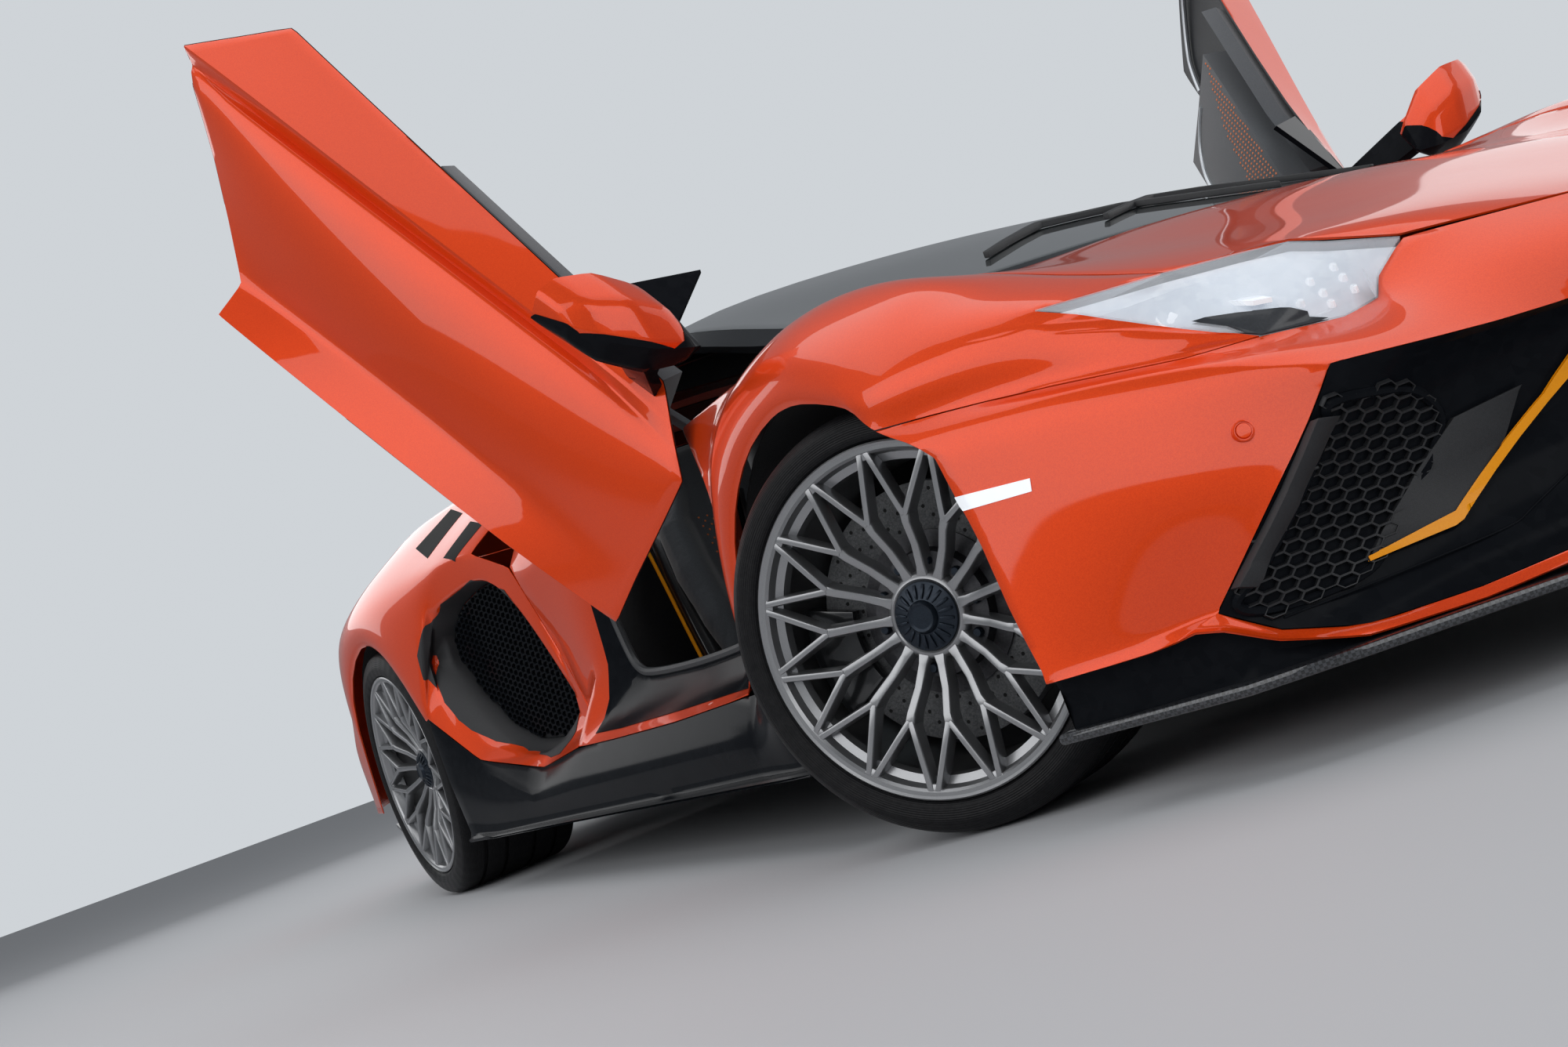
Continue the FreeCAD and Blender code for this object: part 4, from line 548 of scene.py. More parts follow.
for name, finish in (("lamp_covers", cover_clear), ("lamp_bowls", silvered)):
    lamp_part = taken_up(name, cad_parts["headlamps"].data.copy())
    edit_all()
    bpy.ops.mesh.remove_doubles(threshold=0.00004)
    bpy.ops.mesh.normals_make_consistent(inside=False)
    if name == "lamp_covers":
        covers = lamp_part
        bpy.ops.mesh.select_mode(type="FACE")
        bpy.ops.mesh.select_all(action="DESELECT")
        edit_done()
        for face in lamp_part.data.polygons:
            face.select = face.normal.dot(glass_side) <= glass_turn
        bpy.ops.object.mode_set(mode="EDIT")
        bpy.ops.mesh.delete(type="FACE")
        edit_done()
        modified(lamp_part, "SOLIDIFY", thickness=0.0022, offset=-1)
    else:
        bpy.ops.transform.translate(value=(-0.004, 0, -0.013))
        edit_done()
    dressed(lamp_part, finish, "car_body", "headlamps", 24)


def pointed(place, direction):
    # A place whose own z axis points along a direction.
    return Matrix.Translation(place) @ Vector(direction).to_track_quat("Z", "Y").to_matrix().to_4x4()


guide_line = [(1985, -688, 606), (1996, -647, 614), (2034, -663, 555), (2024, -685, 558)]
stud_places = [(2044, 623, 559), (2035, 586, 583), (2048, 585, 563), (2036, 540, 592), (2050, 545, 574),
               (2058, 542, 555), (2056, 586, 546)]
insert_line = [(1972, -742, 572), (2022, -688, 562), (2062, -606, 527), (2046, -660, 515), (2034, -702, 520)]
for side, sign, turned_line in both_sides:
    projector = primitive(bpy.ops.mesh.primitive_circle_add, "projector_" + side, vertices=40, radius=0.025,
                          fill_type="NGON")
    edit_all()
    for rise, grow in ((0.010, 1.0), (0.002, 0.93), (-0.004, 0.84), (0.004, 0.7), (0.004, 0.4)):
        bpy.ops.mesh.extrude_region_move(TRANSFORM_OT_translate={"value": (0, 0, rise)})
        bpy.ops.transform.resize(value=(grow, grow, 1), center_override=(0, 0, 0))
    edit_done()
    forward = Vector((0.75, 0.25 * sign, 0.6)).normalized()
    projector.data.transform(pointed(Vector((1.955, 0.744 * sign, 0.600)) - forward * 0.026, forward))
    dressed(projector, guide_white, "car_body", fold=30)
    guide = primitive(bpy.ops.mesh.primitive_circle_add, "light_guide_" + side, vertices=len(guide_line), radius=1,
                      fill_type="NGON")
    rise = Vector((0.001, 0, 0.003))
    inward = rise.normalized()
    corners, middle = laid_flat(turned_line(guide_line), inward, inward)[:2]
    for corner, place in zip(guide.data.vertices, corners):
        corner.co = place - inward * (place - middle).dot(inward) - rise
    edit_all()
    bpy.ops.mesh.extrude_region_move(TRANSFORM_OT_translate={"value": 2 * rise})
    bpy.ops.mesh.select_all(action="SELECT")
    bpy.ops.mesh.normals_make_consistent(inside=False)
    edit_done()
    guide.data.transform(Matrix.Translation((-0.003, 0, -0.009)))
    dressed(guide, guide_white, "car_body")
    studs = bmesh.new()
    for x, y, z in stud_places:
        bmesh.ops.create_cone(studs, cap_ends=True, segments=8, radius1=0.0075, radius2=0.004, depth=0.008,
                              matrix=pointed(Vector((x - 4, y * sign, z - 10)) / 1000, (0.6, 0.1 * sign, 0.8)))
    cluster = taken_up("lens_cluster_" + side, meshed("lens_cluster_" + side, studs))
    dressed(cluster, guide_white, "car_body")
    applied_piece(covers, turned_line(insert_line), (0.05, 0, 0.12), "lamp_insert_" + side, insert_black, lift=0.0006)

# Tyres
# Low, wide road tyres: black rubber with fine ribs on the sidewall and a cut tread. The cuts
# follow the tyre's own UV map, which runs round it and along its profile.
rubber = finish_of("tyre_rubber", (0.006, 0.006, 0.007), (0.018, 0.018, 0.019), (0.36, 0.52),
                   fleck_scale=260, fleck_share=0.4, specular=0.15)
tread_cuts, entry, end = node_group("tread_cuts", {}, {"Normal": "Vector"})
round_uv = added(tread_cuts, "UVMap")
round_uv.uv_map = "round"
blocks, ribs = added(tread_cuts, "Mapping", Scale=(60, 8, 1)), added(tread_cuts, "Mapping", Scale=(0.0, 90, 1))
block_wave, rib_wave = added(tread_cuts, "TexWave", Scale=0.5), added(tread_cuts, "TexWave", Scale=1.0)
block_wave.bands_direction, rib_wave.bands_direction = "DIAGONAL", "Y"
both, bump = added(tread_cuts, "Math"), added(tread_cuts, "Bump", Strength=0.35, Distance=0.0015)
both.operation = "ADD"
wired(tread_cuts, (round_uv, "UV", blocks, "Vector"), (blocks, "Vector", block_wave, "Vector"),
      (round_uv, "UV", ribs, "Vector"), (ribs, "Vector", rib_wave, "Vector"), (block_wave, "Fac", both, 0),
      (rib_wave, "Fac", both, 1), (both, 0, bump, "Height"), (bump, "Normal", end, "Normal"))
cuts = grouped(rubber.node_tree, tread_cuts)
wired(rubber.node_tree, (cuts, "Normal", rubber.node_tree.nodes["Principled BSDF"], "Normal"))

# Wheels
# Forged alloy wheels painted satin titanium grey. Fifteen stems rise from a dished hub, fork, and
# meet their neighbours' arms at the rim. A ribbed dark nut holds each wheel on its hub.
titanium = finish_of("titanium_grey", (0.30, 0.305, 0.315), (0.38, 0.385, 0.395), (0.27, 0.36),
                     metallic=0.85, coat=0.3, fleck_scale=1400, fleck_share=0.4)
nut_blue = finish_of("anodised_nut", (0.012, 0.018, 0.028), (0.03, 0.045, 0.065), (0.28, 0.4),
                     metallic=0.6, fleck_scale=500)
ceramic = finish_of("carbon_ceramic", (0.075, 0.078, 0.082), (0.20, 0.205, 0.21), (0.55, 0.7),
                    metallic=0.2, fleck_scale=420, fleck_share=0.55)
# Flat black for openings: painted shade standing in for the dark inside of the disc's drillings and of the shoulder
# slots.
hole_shade_black = finish_of("painted_bore_shade", (0.004, 0.004, 0.004), (0.012, 0.012, 0.012), (0.8, 0.9))
bell_grey = finish_of("disc_bell", (0.05, 0.05, 0.055), (0.11, 0.11, 0.115), (0.4, 0.5), metallic=0.7)


def lofted(name, rings):
    # A closed bar through a row of cross-sections with the same number of corners.
    bar = bmesh.new()
    rows = [[bar.verts.new(corner) for corner in ring] for ring in rings]
    for row, following in zip(rows, rows[1:]):
        for k in range(len(row)):
            bar.faces.new((row[k], row[(k + 1) % len(row)], following[(k + 1) % len(row)], following[k]))
    bar.faces.new(list(reversed(rows[0])))
    bar.faces.new(rows[-1])
    bmesh.ops.recalc_face_normals(bar, faces=bar.faces)
    return meshed(name, bar)


def revolved(name, profile, steps, closed=True):
    # A turned piece about the local z axis, its profile as (radius, height), with a UV map that
    # runs round it and along its profile.
    turned = bmesh.new()
    uv = turned.loops.layers.uv.new("round")
    rows = []
    for k in range(steps):
        angle = 2 * pi * k / steps
        rows.append([turned.verts.new((r * cos(angle), r * sin(angle), z)) for r, z in profile])
    lengths = [0.0]
    for (r0, z0), (r1, z1) in zip(profile, profile[1:] + profile[:1]):
        lengths.append(lengths[-1] + ((r1 - r0) ** 2 + (z1 - z0) ** 2) ** 0.5)
    spans = len(profile) if closed else len(profile) - 1
    for k in range(steps):
        row, following = rows[k], rows[(k + 1) % steps]
        for j in range(spans):
            n = (j + 1) % len(profile)
            face = turned.faces.new((row[j], row[n], following[n], following[j]))
            places = ((k, lengths[j]), (k, lengths[j + 1]), (k + 1, lengths[j + 1]), (k + 1, lengths[j]))
            for loop, (turn, along) in zip(face.loops, places):
                loop[uv].uv = (turn / steps, along)
    bmesh.ops.remove_doubles(turned, verts=turned.verts, dist=0.00001)
    bmesh.ops.recalc_face_normals(turned, faces=turned.faces)
    return meshed(name, turned)


def profile(radius, height, *places):
    # Points in millimetres outward from a radius and up from a height.
    return [(radius + r / 1000, height + z / 1000) for r, z in places]


def gathered_copies(name, patterns):
    # One mesh from many placed copies of smaller ones.
    whole = bmesh.new()
    for mesh, places in patterns:
        for place in places:
            mesh.transform(place)
            whole.from_mesh(mesh)
            mesh.transform(place.inverted())
    return meshed(name, whole)


def finished(name, mesh, finish, body, place=None, bevel=0.0, fold=34, stands_for=None):
    # Puts a mesh in its place on the car, breaks its edges and gives it its finish.
    piece = taken_up(name, mesh)
    if bevel:
        modified(piece, "BEVEL", width=bevel, segments=2, angle_limit=radians(40))
    bpy.ops.object.shade_smooth_by_angle(angle=radians(fold))
    if place is not None:
        piece.data.transform(place)
        if place.determinant() < 0:
            piece.data.flip_normals()
    return dressed(piece, finish, body, stands_for)


def bar_section(x, y, z, heading, top, foot, depth):
    # A stem's cross-section: narrow on its face, wide at its foot.
    side = Vector((-sin(heading), cos(heading), 0))
    middle = Vector((x, y, z))
    low = middle - Vector((0, 0, depth))
    return [middle + side * top / 2, middle - side * top / 2, middle - side * top * 0.62 - Vector((0, 0, 0.004)),
            low - side * foot / 2, low + side * foot / 2, middle + side * top * 0.62 - Vector((0, 0, 0.004))]


stem_count, phase, fork_share = 15, radians(3), 0.603
drillings, drilled_rings, drilling_shift = 22, 5, 0.37
axle_y, photo_steer = 0.8, radians(29.6)
for marks_of, axle_x, centre_z, face_y, width, rim, disc, disc_back in (
        ("front", 1.330, 0.328, 0.985, 0.255, 0.272, 0.200, 0.107),
        ("rear", -1.370, 0.353, 1.025, 0.345, 0.285, 0.190, 0.147)):
    half_step = pi / stem_count
    fork = fork_share * rim
    stem = lofted("stem", [bar_section(r, 0, z, 0, top, foot, depth) for r, z, top, foot, depth in (
        (0.056, -0.046, 0.0180, 0.030, 0.018), (0.075, -0.043, 0.0125, 0.021, 0.022),
        (0.110, -0.034, 0.0115, 0.020, 0.027), (fork - 0.018, -0.015, 0.0120, 0.021, 0.026),
        (fork + 0.004, -0.012, 0.0145, 0.023, 0.026))])
    arms = []
    for turn in (1, -1):
        end = Vector((cos(half_step * 0.9 * turn), sin(half_step * 0.9 * turn), 0)) * (rim - 0.012)
        start = Vector((fork - 0.006, 0.0008 * turn, 0))
        heading = (end - start).to_2d().angle_signed(Vector((1, 0)))
        steps = []
        for share, z in ((0.0, -0.0125), (0.35, -0.009), (0.75, -0.006), (1.0, -0.004)):
            spot = start.lerp(end, share)
            steps.append(bar_section(spot.x, spot.y, z, heading, 0.0090, 0.0160, 0.024))
        arms.append(lofted("arm", steps))
    webs = lofted("web", [bar_section(rim - 0.024, 0, -0.007, 0, 0.010, 0.016, 0.022),
                          bar_section(rim - 0.011, 0, -0.004, 0, 0.030, 0.034, 0.020)])
    around = [Matrix.Rotation(2 * half_step * k + phase, 4, "Z") for k in range(stem_count)]
    between = [turn @ Matrix.Rotation(half_step, 4, "Z") for turn in around]
    spokes = gathered_copies("spokes", [(stem, around), (arms[0], around), (arms[1], around), (webs, between)])
    depth = 1000 * width
    barrel = revolved("barrel", profile(
        rim, 0, (-10, -12), (0, -12), (0.5, -2), (-2, 0), (-6, -2.5), (-12, -3), (-16, -7.5), (-20, -21), (-32, -26),
        (-34, -42), (-25, -48), (-24, -80), (-38, -120), (-36, -0.7 * depth), (-21, 24 - depth), (-16, 11 - depth),
        (-10, 11 - depth), (-10, 22 - depth), (-30, -0.72 * depth), (-32, -120), (-17, -75), (-14, -30)), 120)
    dish = revolved("dish", profile(0, 0, (53, -47), (57, -44), (63, -46), (68, -52), (69, -66), (53, -66)), 72)
    nut = revolved("nut", profile(0, 0, (0, -28), (17, -28), (21, -26.2), (23.5, -28.5), (26, -34), (46, -40),
                                  (52.5, -43), (53.5, -47), (53.5, -62), (0, -62)), 60, closed=False)
    rib = lofted("rib", [[Vector((r, side * w, z)) for side, z in ((-1, -0.046), (1, -0.046), (1, top), (-1, top))]
                         for r, w, top in ((0.028, 0.0012, -0.0325), (0.035, 0.0022, -0.0330),
                                           (0.044, 0.0026, -0.0360), (0.0495, 0.0022, -0.0400))])
    ribs = [Matrix.Rotation(2 * pi * k / 20, 4, "Z") for k in range(20)]
    rotor = revolved("rotor", profile(disc, -disc_back, (0, 18), (0, -18))
                     + profile(0.120, -disc_back, (0, -18), (0, 18)), 96)
    bell = revolved("bell", profile(0, -disc_back, (126, 16), (126, 22), (100, 24), (96, 44), (60, 46), (60, 0)), 60,
                    closed=False)
    # The drillings are flat black discs laid on the disc's face: painted shade in place of open holes.
    drilled = bmesh.new()
    for ring in range(drilled_rings):
        for k in range(drillings):
            angle = 2 * pi * (k + drilling_shift * ring) / drillings
            r = 0.134 + ring * (disc - 0.146) / (drilled_rings - 1)
            spot = Matrix.Translation((r * cos(angle), r * sin(angle), -disc_back + 0.0182))
            bmesh.ops.create_circle(drilled, cap_ends=True, segments=8, radius=0.0032, matrix=spot)
    holes = meshed("disc_holes", drilled)
    bolt = revolved("bolt", profile(0, -disc_back, (0, 54), (6, 54), (8, 50), (8, 40)), 12, closed=False)
    bolt_ring = [Matrix.Rotation(2 * pi * k / 10, 4, "Z") @ Matrix.Translation((0.082, 0, 0)) for k in range(10)]
    bolts = gathered_copies("bolts", [(bolt, bolt_ring)])
    half_profile = profile(rim, 0, (-8, -12.5), (1, -10.5), (3.5, -3), (8, 1), (14, 3.5), (18, 3), (24, 5), (30, 4.6),
                           (36, 3.2))
    half_profile += profile(centre_z, 0, (-14, -1), (-10, -4), (-5.5, -10.5), (-2, -20), (-0.8, -34))
    groove = []
    for at in (0.20, 0.38, 0.62, 0.80):
        groove += profile(centre_z, 0.005 - width * at, (0, 5.5), (-7, 4.5), (-7, -4.5), (0, -5.5))
    far = [(r, 0.010 - width - z) for r, z in reversed(half_profile)]
    carcass = revolved("carcass", half_profile + groove + far, 144)
    for side, sign in (("left", 1), ("right", -1)):
        spin_matrix = Matrix(((-sign, 0, 0, axle_x), (0, 0, sign, sign * face_y), (0, 1, 0, centre_z), (0, 0, 0, 1)))
        if marks_of == "front":
            king = Matrix.Translation((axle_x, axle_y * sign, 0))
            spin_matrix = king @ Matrix.Rotation(photo_steer, 4, "Z") @ king.inverted() @ spin_matrix
        node_mark = marks_of[0] + side[0]
        body = "wheel_%s_%s" % (marks_of, side)
        for label, mesh, finish, edge, fold in (
                ("spokes", spokes, titanium, 0.0014, 30), ("barrel", barrel, titanium, 0, 24),
                ("dish", dish, titanium, 0, 40), ("nut", nut, nut_blue, 0, 24), ("disc", rotor, ceramic, 0.0012, 30),
                ("disc_bell", bell, bell_grey, 0, 30), ("disc_holes", holes, hole_shade_black, 0, 30),
                ("bolts", bolts, nut_blue, 0, 30)):
            finished("%s_%s" % (label, node_mark), mesh.copy(), finish, body, spin_matrix, edge, fold,
                     stands_for="wheel_" + node_mark)
        nut_ribs = gathered_copies("nut_ribs", [(rib, ribs)])
        finished("nut_ribs_" + node_mark, nut_ribs, nut_blue, body, spin_matrix, 0.0006, 30)
        finished("tyre_body_" + node_mark, carcass.copy(), rubber, body, spin_matrix, 0, 30,
                 stands_for="tyre_" + node_mark)

# Lower nose
# The white side marker let into each cheek, the round sensor beside the fascia and the black lower
# corner ahead of the wheel.


def on_side(points, sign):
    # Points given for the left side, on the left or on the right.
    return [(x, y * sign, z) for x, y, z in points]


marker_line = [(1795, -939, 458), (1793, -939, 441), (1690, -965, 449), (1680, -967, 471)]
corner_top = [(1736, 972, 203), (1795, 948, 203), (1840, 922, 203), (1873, 897, 203), (1900, 874, 204),
              (1926, 858, 206), (1950, 838, 206), (1990, 788, 172), (2044, 710, 146), (2095, 632, 131)]
corner_foot = [(1712, 950, 122), (1790, 922, 122), (1838, 896, 122), (1874, 874, 122), (1905, 858, 122),
               (1932, 845, 122), (1957, 828, 122), (1993, 781, 122), (2046, 703, 122), (2096, 627, 122)]
for side, sign, turned_line in both_sides:
    applied_piece(panels["nose_skin"], turned_line(marker_line), (0, 0.08, 0), "side_marker_" + side, guide_white,
                  lift=0.0016, facing=(0.25, 0.97 * sign, 0))
    corner_rings = []
    for top, foot in zip(on_side(corner_top, sign), on_side(corner_foot, sign)):
        top, foot = Vector(top) / 1000, Vector(foot) / 1000
        inward, waist = Vector((-0.006, -0.008 * sign, 0)), top.lerp(foot, 0.5) + Vector((-0.007, -0.010 * sign, 0))
        corner_rings.append([top, top + inward, foot + inward, foot, waist])
    finished("lower_corner_" + side, lofted("lower_corner", corner_rings), gloss_black, "car_body")
    place = pointed((2.038, 0.784 * sign, 0.419), (0.88, 0.45 * sign, 0.1))
    sensor = revolved("sensor", profile(0, 0, (0, 4), (9, 3.8), (10.5, 1.5), (11.5, 1.5), (12, 4), (13.5, 3.6),
                                        (14, -12)), 32, closed=False)
    finished("park_sensor_" + side, sensor, paint, "car_body", place)

# Side intakes
# Deep black funnels behind the doors, with a moulded honeycomb at their backs, and two air slots on
# the shoulder above each, drawn as flat black patches of painted shade.
funnel_line = [(-300, -865, 365), (-375, -872, 500), (-490, -890, 700), (-640, -910, 760), (-825, -950, 740),
               (-905, -963, 705), (-955, -975, 640), (-950, -985, 575), (-915, -985, 500), (-868, -980, 445),
               (-825, -970, 410), (-745, -955, 362), (-600, -945, 314), (-430, -930, 284), (-362, -900, 286),
               (-330, -880, 310)]
mesh_line = [(-325, -830, 372), (-395, -835, 500), (-505, -845, 695), (-645, -862, 745), (-818, -890, 726),
             (-885, -902, 688), (-938, -910, 602), (-737, -885, 372), (-482, -860, 312)]
slot_lines = ([(-1106, -877, 926), (-1052, -764, 995), (-880, -794, 954), (-904, -917, 871)],
              [(-757, -922, 844), (-704, -840, 908), (-590, -852, 880), (-679, -921, 820)])
for side, sign, turned_line in both_sides:
    applied_piece(panels["haunches"], turned_line(funnel_line), (0, 0.15, 0), "intake_funnel_" + side, matte_black,
                  lift=0.0012)
    honeycomb(intake_backs, turned_line(mesh_line), (0, sign, 0), "intake_honeycomb_" + side, gloss_black,
              cell=(0.0150, 0.0085), wall=0.0022, depth=0.008, level=(1, 0, 0))
    # Each slot is a flat black patch on the haunch: painted shade inside the opening.
    for k, slot_line in enumerate(slot_lines):
        applied_piece(panels["haunches"], turned_line(slot_line), (0, 0.03 * sign, 0.05),
                      "shoulder_slot_shade_%s_%d" % (side, k + 1), hole_shade_black, lift=0.0008)

# Door mirrors and door linings
# The mirrors' lower halves and arms are gloss black. Inside, each door has a black lining and a
# padded card in suede, with a bright strip, a pull and a field of small orange studs.
suede = grained(finish_of("dark_suede", (0.050, 0.056, 0.064), (0.08, 0.087, 0.098), (0.8, 0.95),
                          fleck_scale=800, fleck_share=0.6, Sheen_Weight=0.4), 900, 0.6)
hide = grained(finish_of("black_hide", (0.016, 0.018, 0.021), (0.035, 0.038, 0.043), (0.4, 0.5),
                         fleck_scale=600, fleck_share=0.5), 800, 0.7)
bright_strip = finish_of("brushed_strip", (0.55, 0.58, 0.61), (0.72, 0.75, 0.78), (0.25, 0.4),
                         metallic=0.8, fleck_scale=900)
stud_orange = finish_of("orange_studs", (0.75, 0.17, 0.03), (0.9, 0.28, 0.06), (0.4, 0.55),
                        fleck_scale=500)


def studded(skin, outline, outward, name, finish, pitch, radius, body, level=(0, 0, 1)):
    # A staggered field of small flat studs that follows a surface inside the outline.
    outward = Vector(outward).normalized()
    up_grid = (Vector(level) - outward * Vector(level).dot(outward)).normalized()
    across_grid = up_grid.cross(outward)
    middle, flat = laid_flat(outline, across_grid, up_grid)[1:]
    surface = surface_of(skin)
    field = bmesh.new()
    reach = int(max(abs(v) for pair in flat for v in pair) / pitch) + 2
    for row in range(-2 * reach, 2 * reach):
        for column in range(-reach, reach):
            x, y = pitch * (column + 0.5 * (row % 2)), pitch * 0.5 * row
            if inside((x, y), flat):
                start = middle + across_grid * x + up_grid * y + outward * 0.12
                hit, normal = surface.ray_cast(start, -outward)[:2]
                if hit is not None and normal.dot(outward) > 0.3:
                    bmesh.ops.create_cone(field, cap_ends=True, segments=6, radius1=radius, radius2=radius * 0.7,
                                          depth=0.0016, matrix=pointed(hit + normal * 0.0006, normal))
    return finished(name, meshed(name, field), finish, body)


mirror_lower = [(980, 860, 960), (980, 925, 955), (980, 945, 900), (980, 970, 890), (980, 1117, 960),
                (980, 1156, 1023), (980, 1230, 1020), (980, 1230, 780), (980, 860, 700)]
mirror_stem = [(700, 870, 900), (905, 870, 900), (900, 1000, 900), (700, 1000, 900)]
stud_field = [(367, 994, 1360), (655, 815, 905), (560, 838, 838), (470, 900, 985), (390, 955, 1160)]
strip_line = [(290, 1003, 1262), (190, 1016, 1152), (300, 947, 985), (410, 880, 800)]
edge_run = [(60, 1318, 1680), (30, 1322, 1625), (8, 1321, 1571), (-12, 1318, 1512), (-20, 1308, 1449),
            (8, 1285, 1376)]
pull_line = [(325, 925, 950), (395, 880, 985), (470, 850, 955), (480, 850, 900), (430, 868, 845)]
for side, sign in (("left", 1), ("right", -1)):
    door, mirror = "door_" + side, panels[side + "_mirror"]
    applied_piece(mirror, on_side(mirror_lower, sign), (0.3, 0, 0), "mirror_foot_" + side, gloss_black, lift=0.0012,
                  body=door)
    applied_piece(mirror, on_side(mirror_stem, sign), (0, 0, 0.3), "mirror_arm_" + side, gloss_black, lift=0.0008,
                  body=door)
    card = edged_copy("door_trim_" + side[0], "door_card_" + side, suede, 0.006, door)
    inboard = Vector((-0.31, -0.94 * sign, 0.16))
    inner_faces = bmesh.new()
    inner_faces.from_mesh(panels[side + "_door_skin"].data)
    bmesh.ops.delete(inner_faces, geom=[f for f in inner_faces.faces if f.normal.dot(inboard) < 0.15],
                     context="FACES")
    for corner in inner_faces.verts:
        corner.co += corner.normal * 0.002
    lining = "door_lining_%s.001" % side
    finished(lining, meshed(lining, inner_faces), hide, door)
    studded(card, on_side(stud_field, sign), inboard, "card_studs_" + side, stud_orange, 0.020, 0.0034, door)
    for run, label in ((strip_line, "card"), (edge_run, "edge")):
        bead(on_side(run, sign), 0.007, "%s_strip_%s" % (label, side), bright_strip, door)
    bead(on_side(pull_line, sign), 0.010, "door_pull_" + side, hide, door)

# Door openings
# A thick rubber seal follows each opening, inside a black band. The sill under it is gloss black
# down to a thin line of the body colour.
seal_line = [(742, -818, 652), (752, -834, 560), (752, -846, 420), (700, -848, 378), (400, -846, 374),
             (110, -844, 388), (50, -843, 407), (20, -842, 450), (-2, -844, 615), (5, -838, 765), (-25, -740, 872)]
band_line = [(764, -862, 652), (768, -885, 560), (770, -895, 405), (768, -935, 303), (400, -942, 300),
             (60, -942, 301), (-96, -925, 306), (-62, -896, 368), (-52, -885, 440), (-50, -880, 615), (-48, -868, 765),
             (-70, -765, 878)]
seal_rubber = grained(finish_of("seal_rubber", (0.022, 0.024, 0.027), (0.045, 0.048, 0.052),
                                (0.4, 0.52), fleck_scale=500), 600, 0.4)
for side, sign, turned_line in both_sides:
    bead(turned_line(seal_line), 0.010, "door_seal_" + side, seal_rubber)
    applied_piece(panels["door_surrounds"], turned_line(band_line), (0, 0.2, 0), "opening_band_" + side,
                  gloss_black, lift=0.0014)

# Cabin
# The dash and tunnel in black hide and a flat-bottomed rim, each the frame's own piece with
# soft edges.
edged_copy("dashboard", "dash_and_tunnel", hide, 0.016)
edged_copy("steering_wheel", "steering_rim", hide, 0.008)

# Seats
# Two bucket seats: a hard black shell on a pedestal, and a base and a back cushion of suede over
# foam, with raised sides, bright piping, orange studs and an amber edge stripe.


def seat_form(name, stations, thickness):
    # A form across the seat: flat in the middle, raised at both sides, closed behind.
    rings = []
    for x, z, lean, half, wing in stations:
        out = Vector((sin(lean), 0, cos(lean)))
        ring = []
        for s, share in ((-1.0, 0.05), (-0.98, 0.7), (-0.86, 1.0), (-0.72, 0.8), (-0.60, 0.2), (-0.32, 0.0),
                         (0, 0.12), (0.32, 0.0), (0.60, 0.2), (0.72, 0.8), (0.86, 1.0), (0.98, 0.7), (1.0, 0.05)):
            ring.append(Vector((x, s * half, z)) + out * share * wing)
        for s, depth in ((0.97, 0.6), (0.86, 1.0), (0.0, 1.0), (-0.86, 1.0), (-0.97, 0.6)):
            ring.append(Vector((x, s * half, z)) - out * depth * thickness)
        rings.append(ring)
    return lofted(name, rings)


def plumped(name, mesh, reach):
    # Blows a cushion up under its cover, as foam does, no further than the reach.
    cover_mesh, pressure, steps = 0.006, 4, 20
    pad = taken_up(name, mesh)
    modified(pad, "REMESH", mode="VOXEL", voxel_size=cover_mesh)
    drawn = [corner.co.copy() for corner in pad.data.vertices]
    foam = pad.modifiers.new("foam", "CLOTH")
    foam.settings.use_pressure = True
    foam.settings.uniform_pressure_force = pressure
    foam.settings.effector_weights.gravity = 0
    for step in range(1, steps + 1):
        bpy.context.scene.frame_set(step)
    bpy.ops.object.modifier_apply(modifier=foam.name)
    bpy.context.scene.frame_set(1)
    for corner, start in zip(pad.data.vertices, drawn):
        moved = corner.co - start
        if moved.length > reach:
            corner.co = start + moved.normalized() * reach
    levels = 1
    modified(pad, "SUBSURF", levels=levels, render_levels=levels)
    made = pad.data.copy()
    bpy.data.objects.remove(pad)
    return made


shell_black = finish_of("seat_shell_black", (0.010, 0.011, 0.012), (0.03, 0.032, 0.035), (0.2, 0.3),
                        coat=0.5, fleck_scale=200)
base_mesh = plumped("base_cushion", seat_form("base", [
    (0.075, 0.280, -0.14, 0.220, 0.036), (0.160, 0.284, -0.14, 0.226, 0.042), (0.260, 0.294, -0.14, 0.226, 0.042),
    (0.350, 0.304, -0.12, 0.224, 0.036), (0.400, 0.304, 0.15, 0.218, 0.026), (0.424, 0.288, 0.70, 0.208, 0.012)],
    0.052), 0.008)
back_mesh = plumped("back_cushion", seat_form("back", [
    (-0.010, 0.345, 1.225, 0.200, 0.028), (-0.050, 0.460, 1.225, 0.216, 0.046),
    (-0.094, 0.580, 1.225, 0.222, 0.052), (-0.132, 0.690, 1.225, 0.212, 0.040),
    (-0.162, 0.770, 1.225, 0.160, 0.016), (-0.190, 0.845, 1.225, 0.134, 0.008),
    (-0.207, 0.884, 1.300, 0.118, 0.004)], 0.050), 0.008)
shell_mesh = seat_form("shell", [
    (0.425, 0.256, -0.14, 0.232, 0.020), (0.250, 0.236, -0.14, 0.236, 0.026), (0.080, 0.220, -0.14, 0.236, 0.030),
    (-0.030, 0.238, 0.45, 0.232, 0.036), (-0.078, 0.316, 1.00, 0.228, 0.040), (-0.115, 0.430, 1.225, 0.230, 0.040),
    (-0.160, 0.580, 1.225, 0.230, 0.040), (-0.198, 0.700, 1.225, 0.218, 0.030), (-0.230, 0.790, 1.225, 0.165, 0.016),
    (-0.264, 0.886, 1.225, 0.124, 0.010)], 0.030)
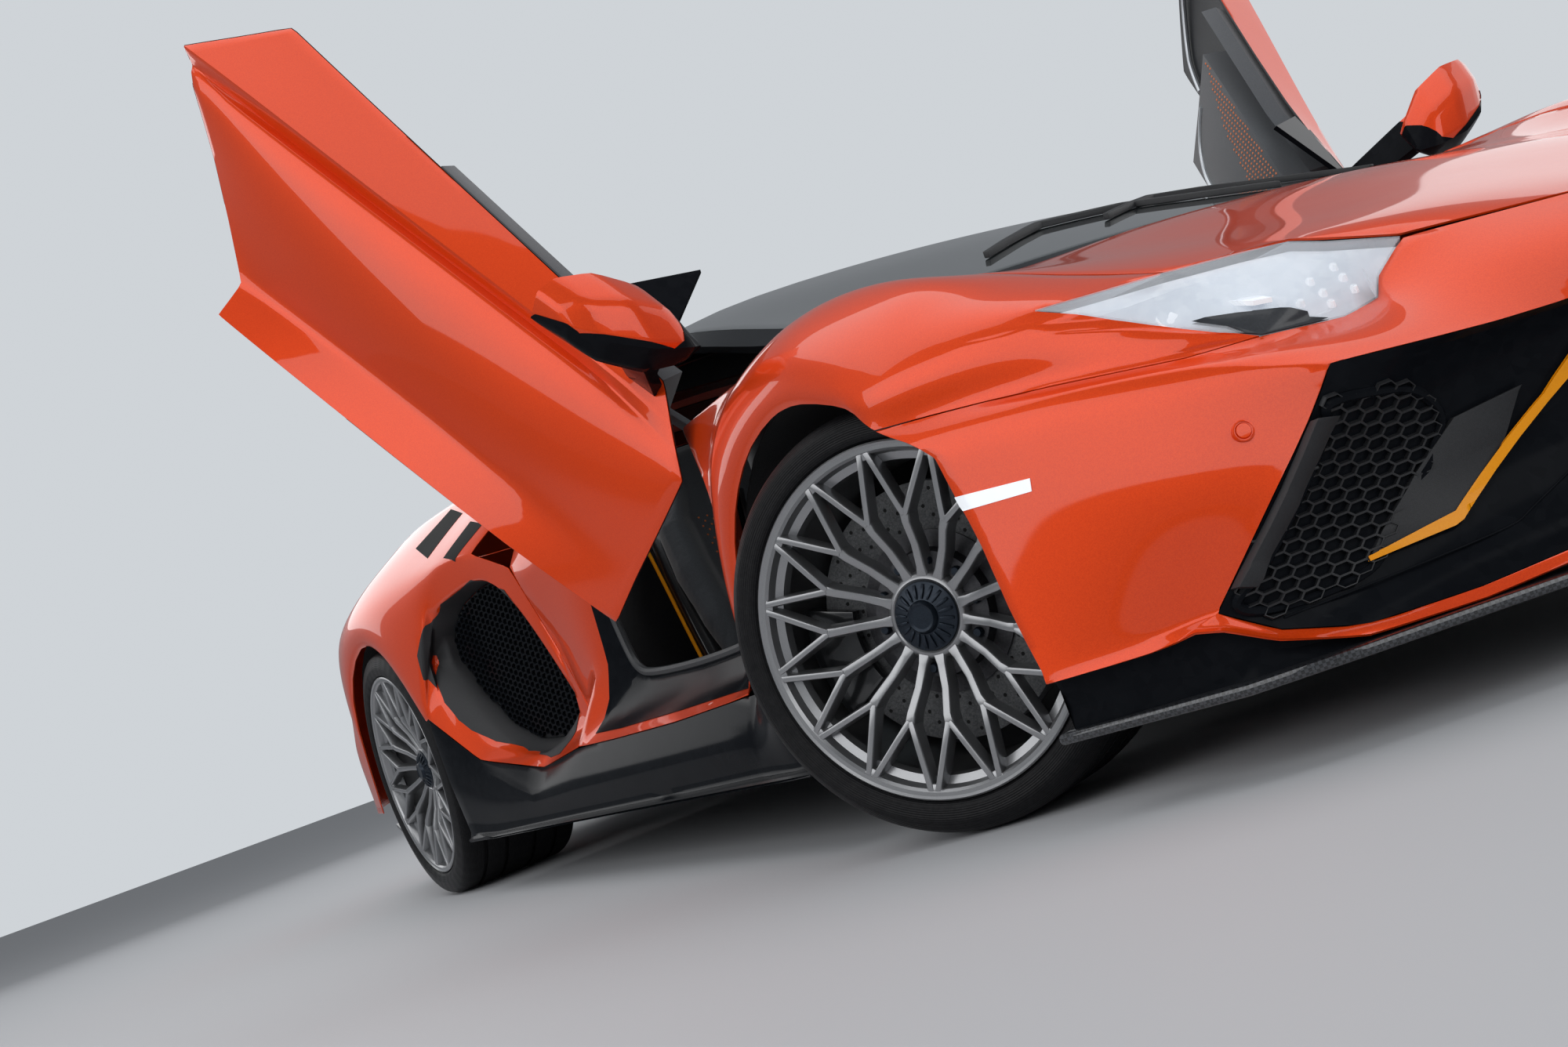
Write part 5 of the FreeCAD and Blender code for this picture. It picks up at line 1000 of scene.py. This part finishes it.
foot_mesh = lofted("foot", [[Vector((x, y, z)) for x, y in ((a, -h), (b, -h), (b, h), (a, h))]
                            for a, b, h, z in ((-0.110, 0.410, 0.190, 0.140), (-0.080, 0.395, 0.200, 0.165),
                                               (-0.020, 0.380, 0.205, 0.232))])
seat_middle, stripe_out, piping_out, field_half = 402.5, 234, 172, 110
stripe_run = [(428, 268), (250, 252), (80, 238), (-32, 262), (-70, 330), (-108, 440), (-152, 590), (-188, 700)]
piping_run = [(412, 320), (350, 317), (250, 307), (160, 297), (85, 292)]
rise_run = [(8, 350), (-32, 470), (-74, 590), (-112, 695)]
for side, y in (("left", seat_middle), ("right", -seat_middle)):
    near, far = y - field_half, y + field_half
    made = {}
    for label, mesh, finish, bevel, fold in (("base", base_mesh, suede, 0, 34), ("back", back_mesh, suede, 0, 34),
                                             ("shell", shell_mesh, shell_black, 0.004, 50),
                                             ("foot", foot_mesh, matte_black, 0.004, 34)):
        made[label] = finished("seat_%s_%s" % (label, side), mesh.copy(), finish, "car_body",
                               Matrix.Translation((0, y / 1000, 0)), bevel, fold, "seats")
    for edge in (-1, 1):
        bead([(x, y + edge * stripe_out, z) for x, z in stripe_run], 0.0045, "seat_stripe_%s_%d" % (side, edge + 1),
             amber)
        for run, label in ((piping_run, "base"), (rise_run, "back")):
            bead([(x, y + edge * piping_out, z) for x, z in run], 0.003, "piping_%s_%s_%d" % (label, side, edge + 1),
                 bright_strip)
    studded(made["back"], [(-40, near, 430), (-40, far, 430), (-130, far, 700), (-130, near, 700)],
            (0.94, 0, 0.34), "back_studs_" + side, stud_orange, 0.024, 0.0028, "car_body")
    studded(made["base"], [(120, near, 290), (120, far, 290), (370, far, 310), (370, near, 310)],
            (-0.1, 0, 1), "base_studs_" + side, stud_orange, 0.024, 0.0028, "car_body",
            level=(1, 0, 0))

# Tail
# Red lamp lenses with a bright outline, a coarse honeycomb between them, and five dark louvres
# across the engine lid.
lens_red = finish_of("lamp_red", (0.30, 0.004, 0.004), (0.55, 0.012, 0.010), (0.12, 0.2), coat=0.8,
                     fleck_scale=180)
glow_red = finish_of("lamp_glow", (0.85, 0.03, 0.02), (1.0, 0.10, 0.05), (0.2, 0.3), coat=0.5,
                     fleck_scale=90, Emission_Color=(1.0, 0.05, 0.02, 1), Emission_Strength=0.4)
edged_copy("tail_lamps", "tail_lamp_lenses", lens_red, 0.002)
tail_outline = [(448, 738), (700, 755), (818, 731), (793, 676), (695, 692), (596, 650), (552, 688)]
for side, sign, turned_line in both_sides:
    bead([(-2393 + 0.21 * (y - 430), y * sign, z) for y, z in tail_outline], 0.0035, "tail_lamp_line_" + side,
         glow_red, closed=True)
honeycomb(tail_grille, [(-2430, -545, 445), (-2430, 545, 445), (-2430, 500, 745), (-2430, -500, 745)], (-1, 0, 0),
          "tail_honeycomb", gloss_black, cell=(0.026, 0.016), wall=0.003, depth=0.010)
for k in range(5):
    front = -640 - 235 * k
    louvre = [(front, -270 + 8 * k, 1000), (front, 270 - 8 * k, 1000), (front - 150, 240 - 8 * k, 1000),
              (front - 150, -240 + 8 * k, 1000)]
    applied_piece(panels["engine_lid"], louvre, (0, 0, 0.2), "lid_louvre_%d" % (k + 1), gloss_black, lift=0.002,
                  body="engine_cover")
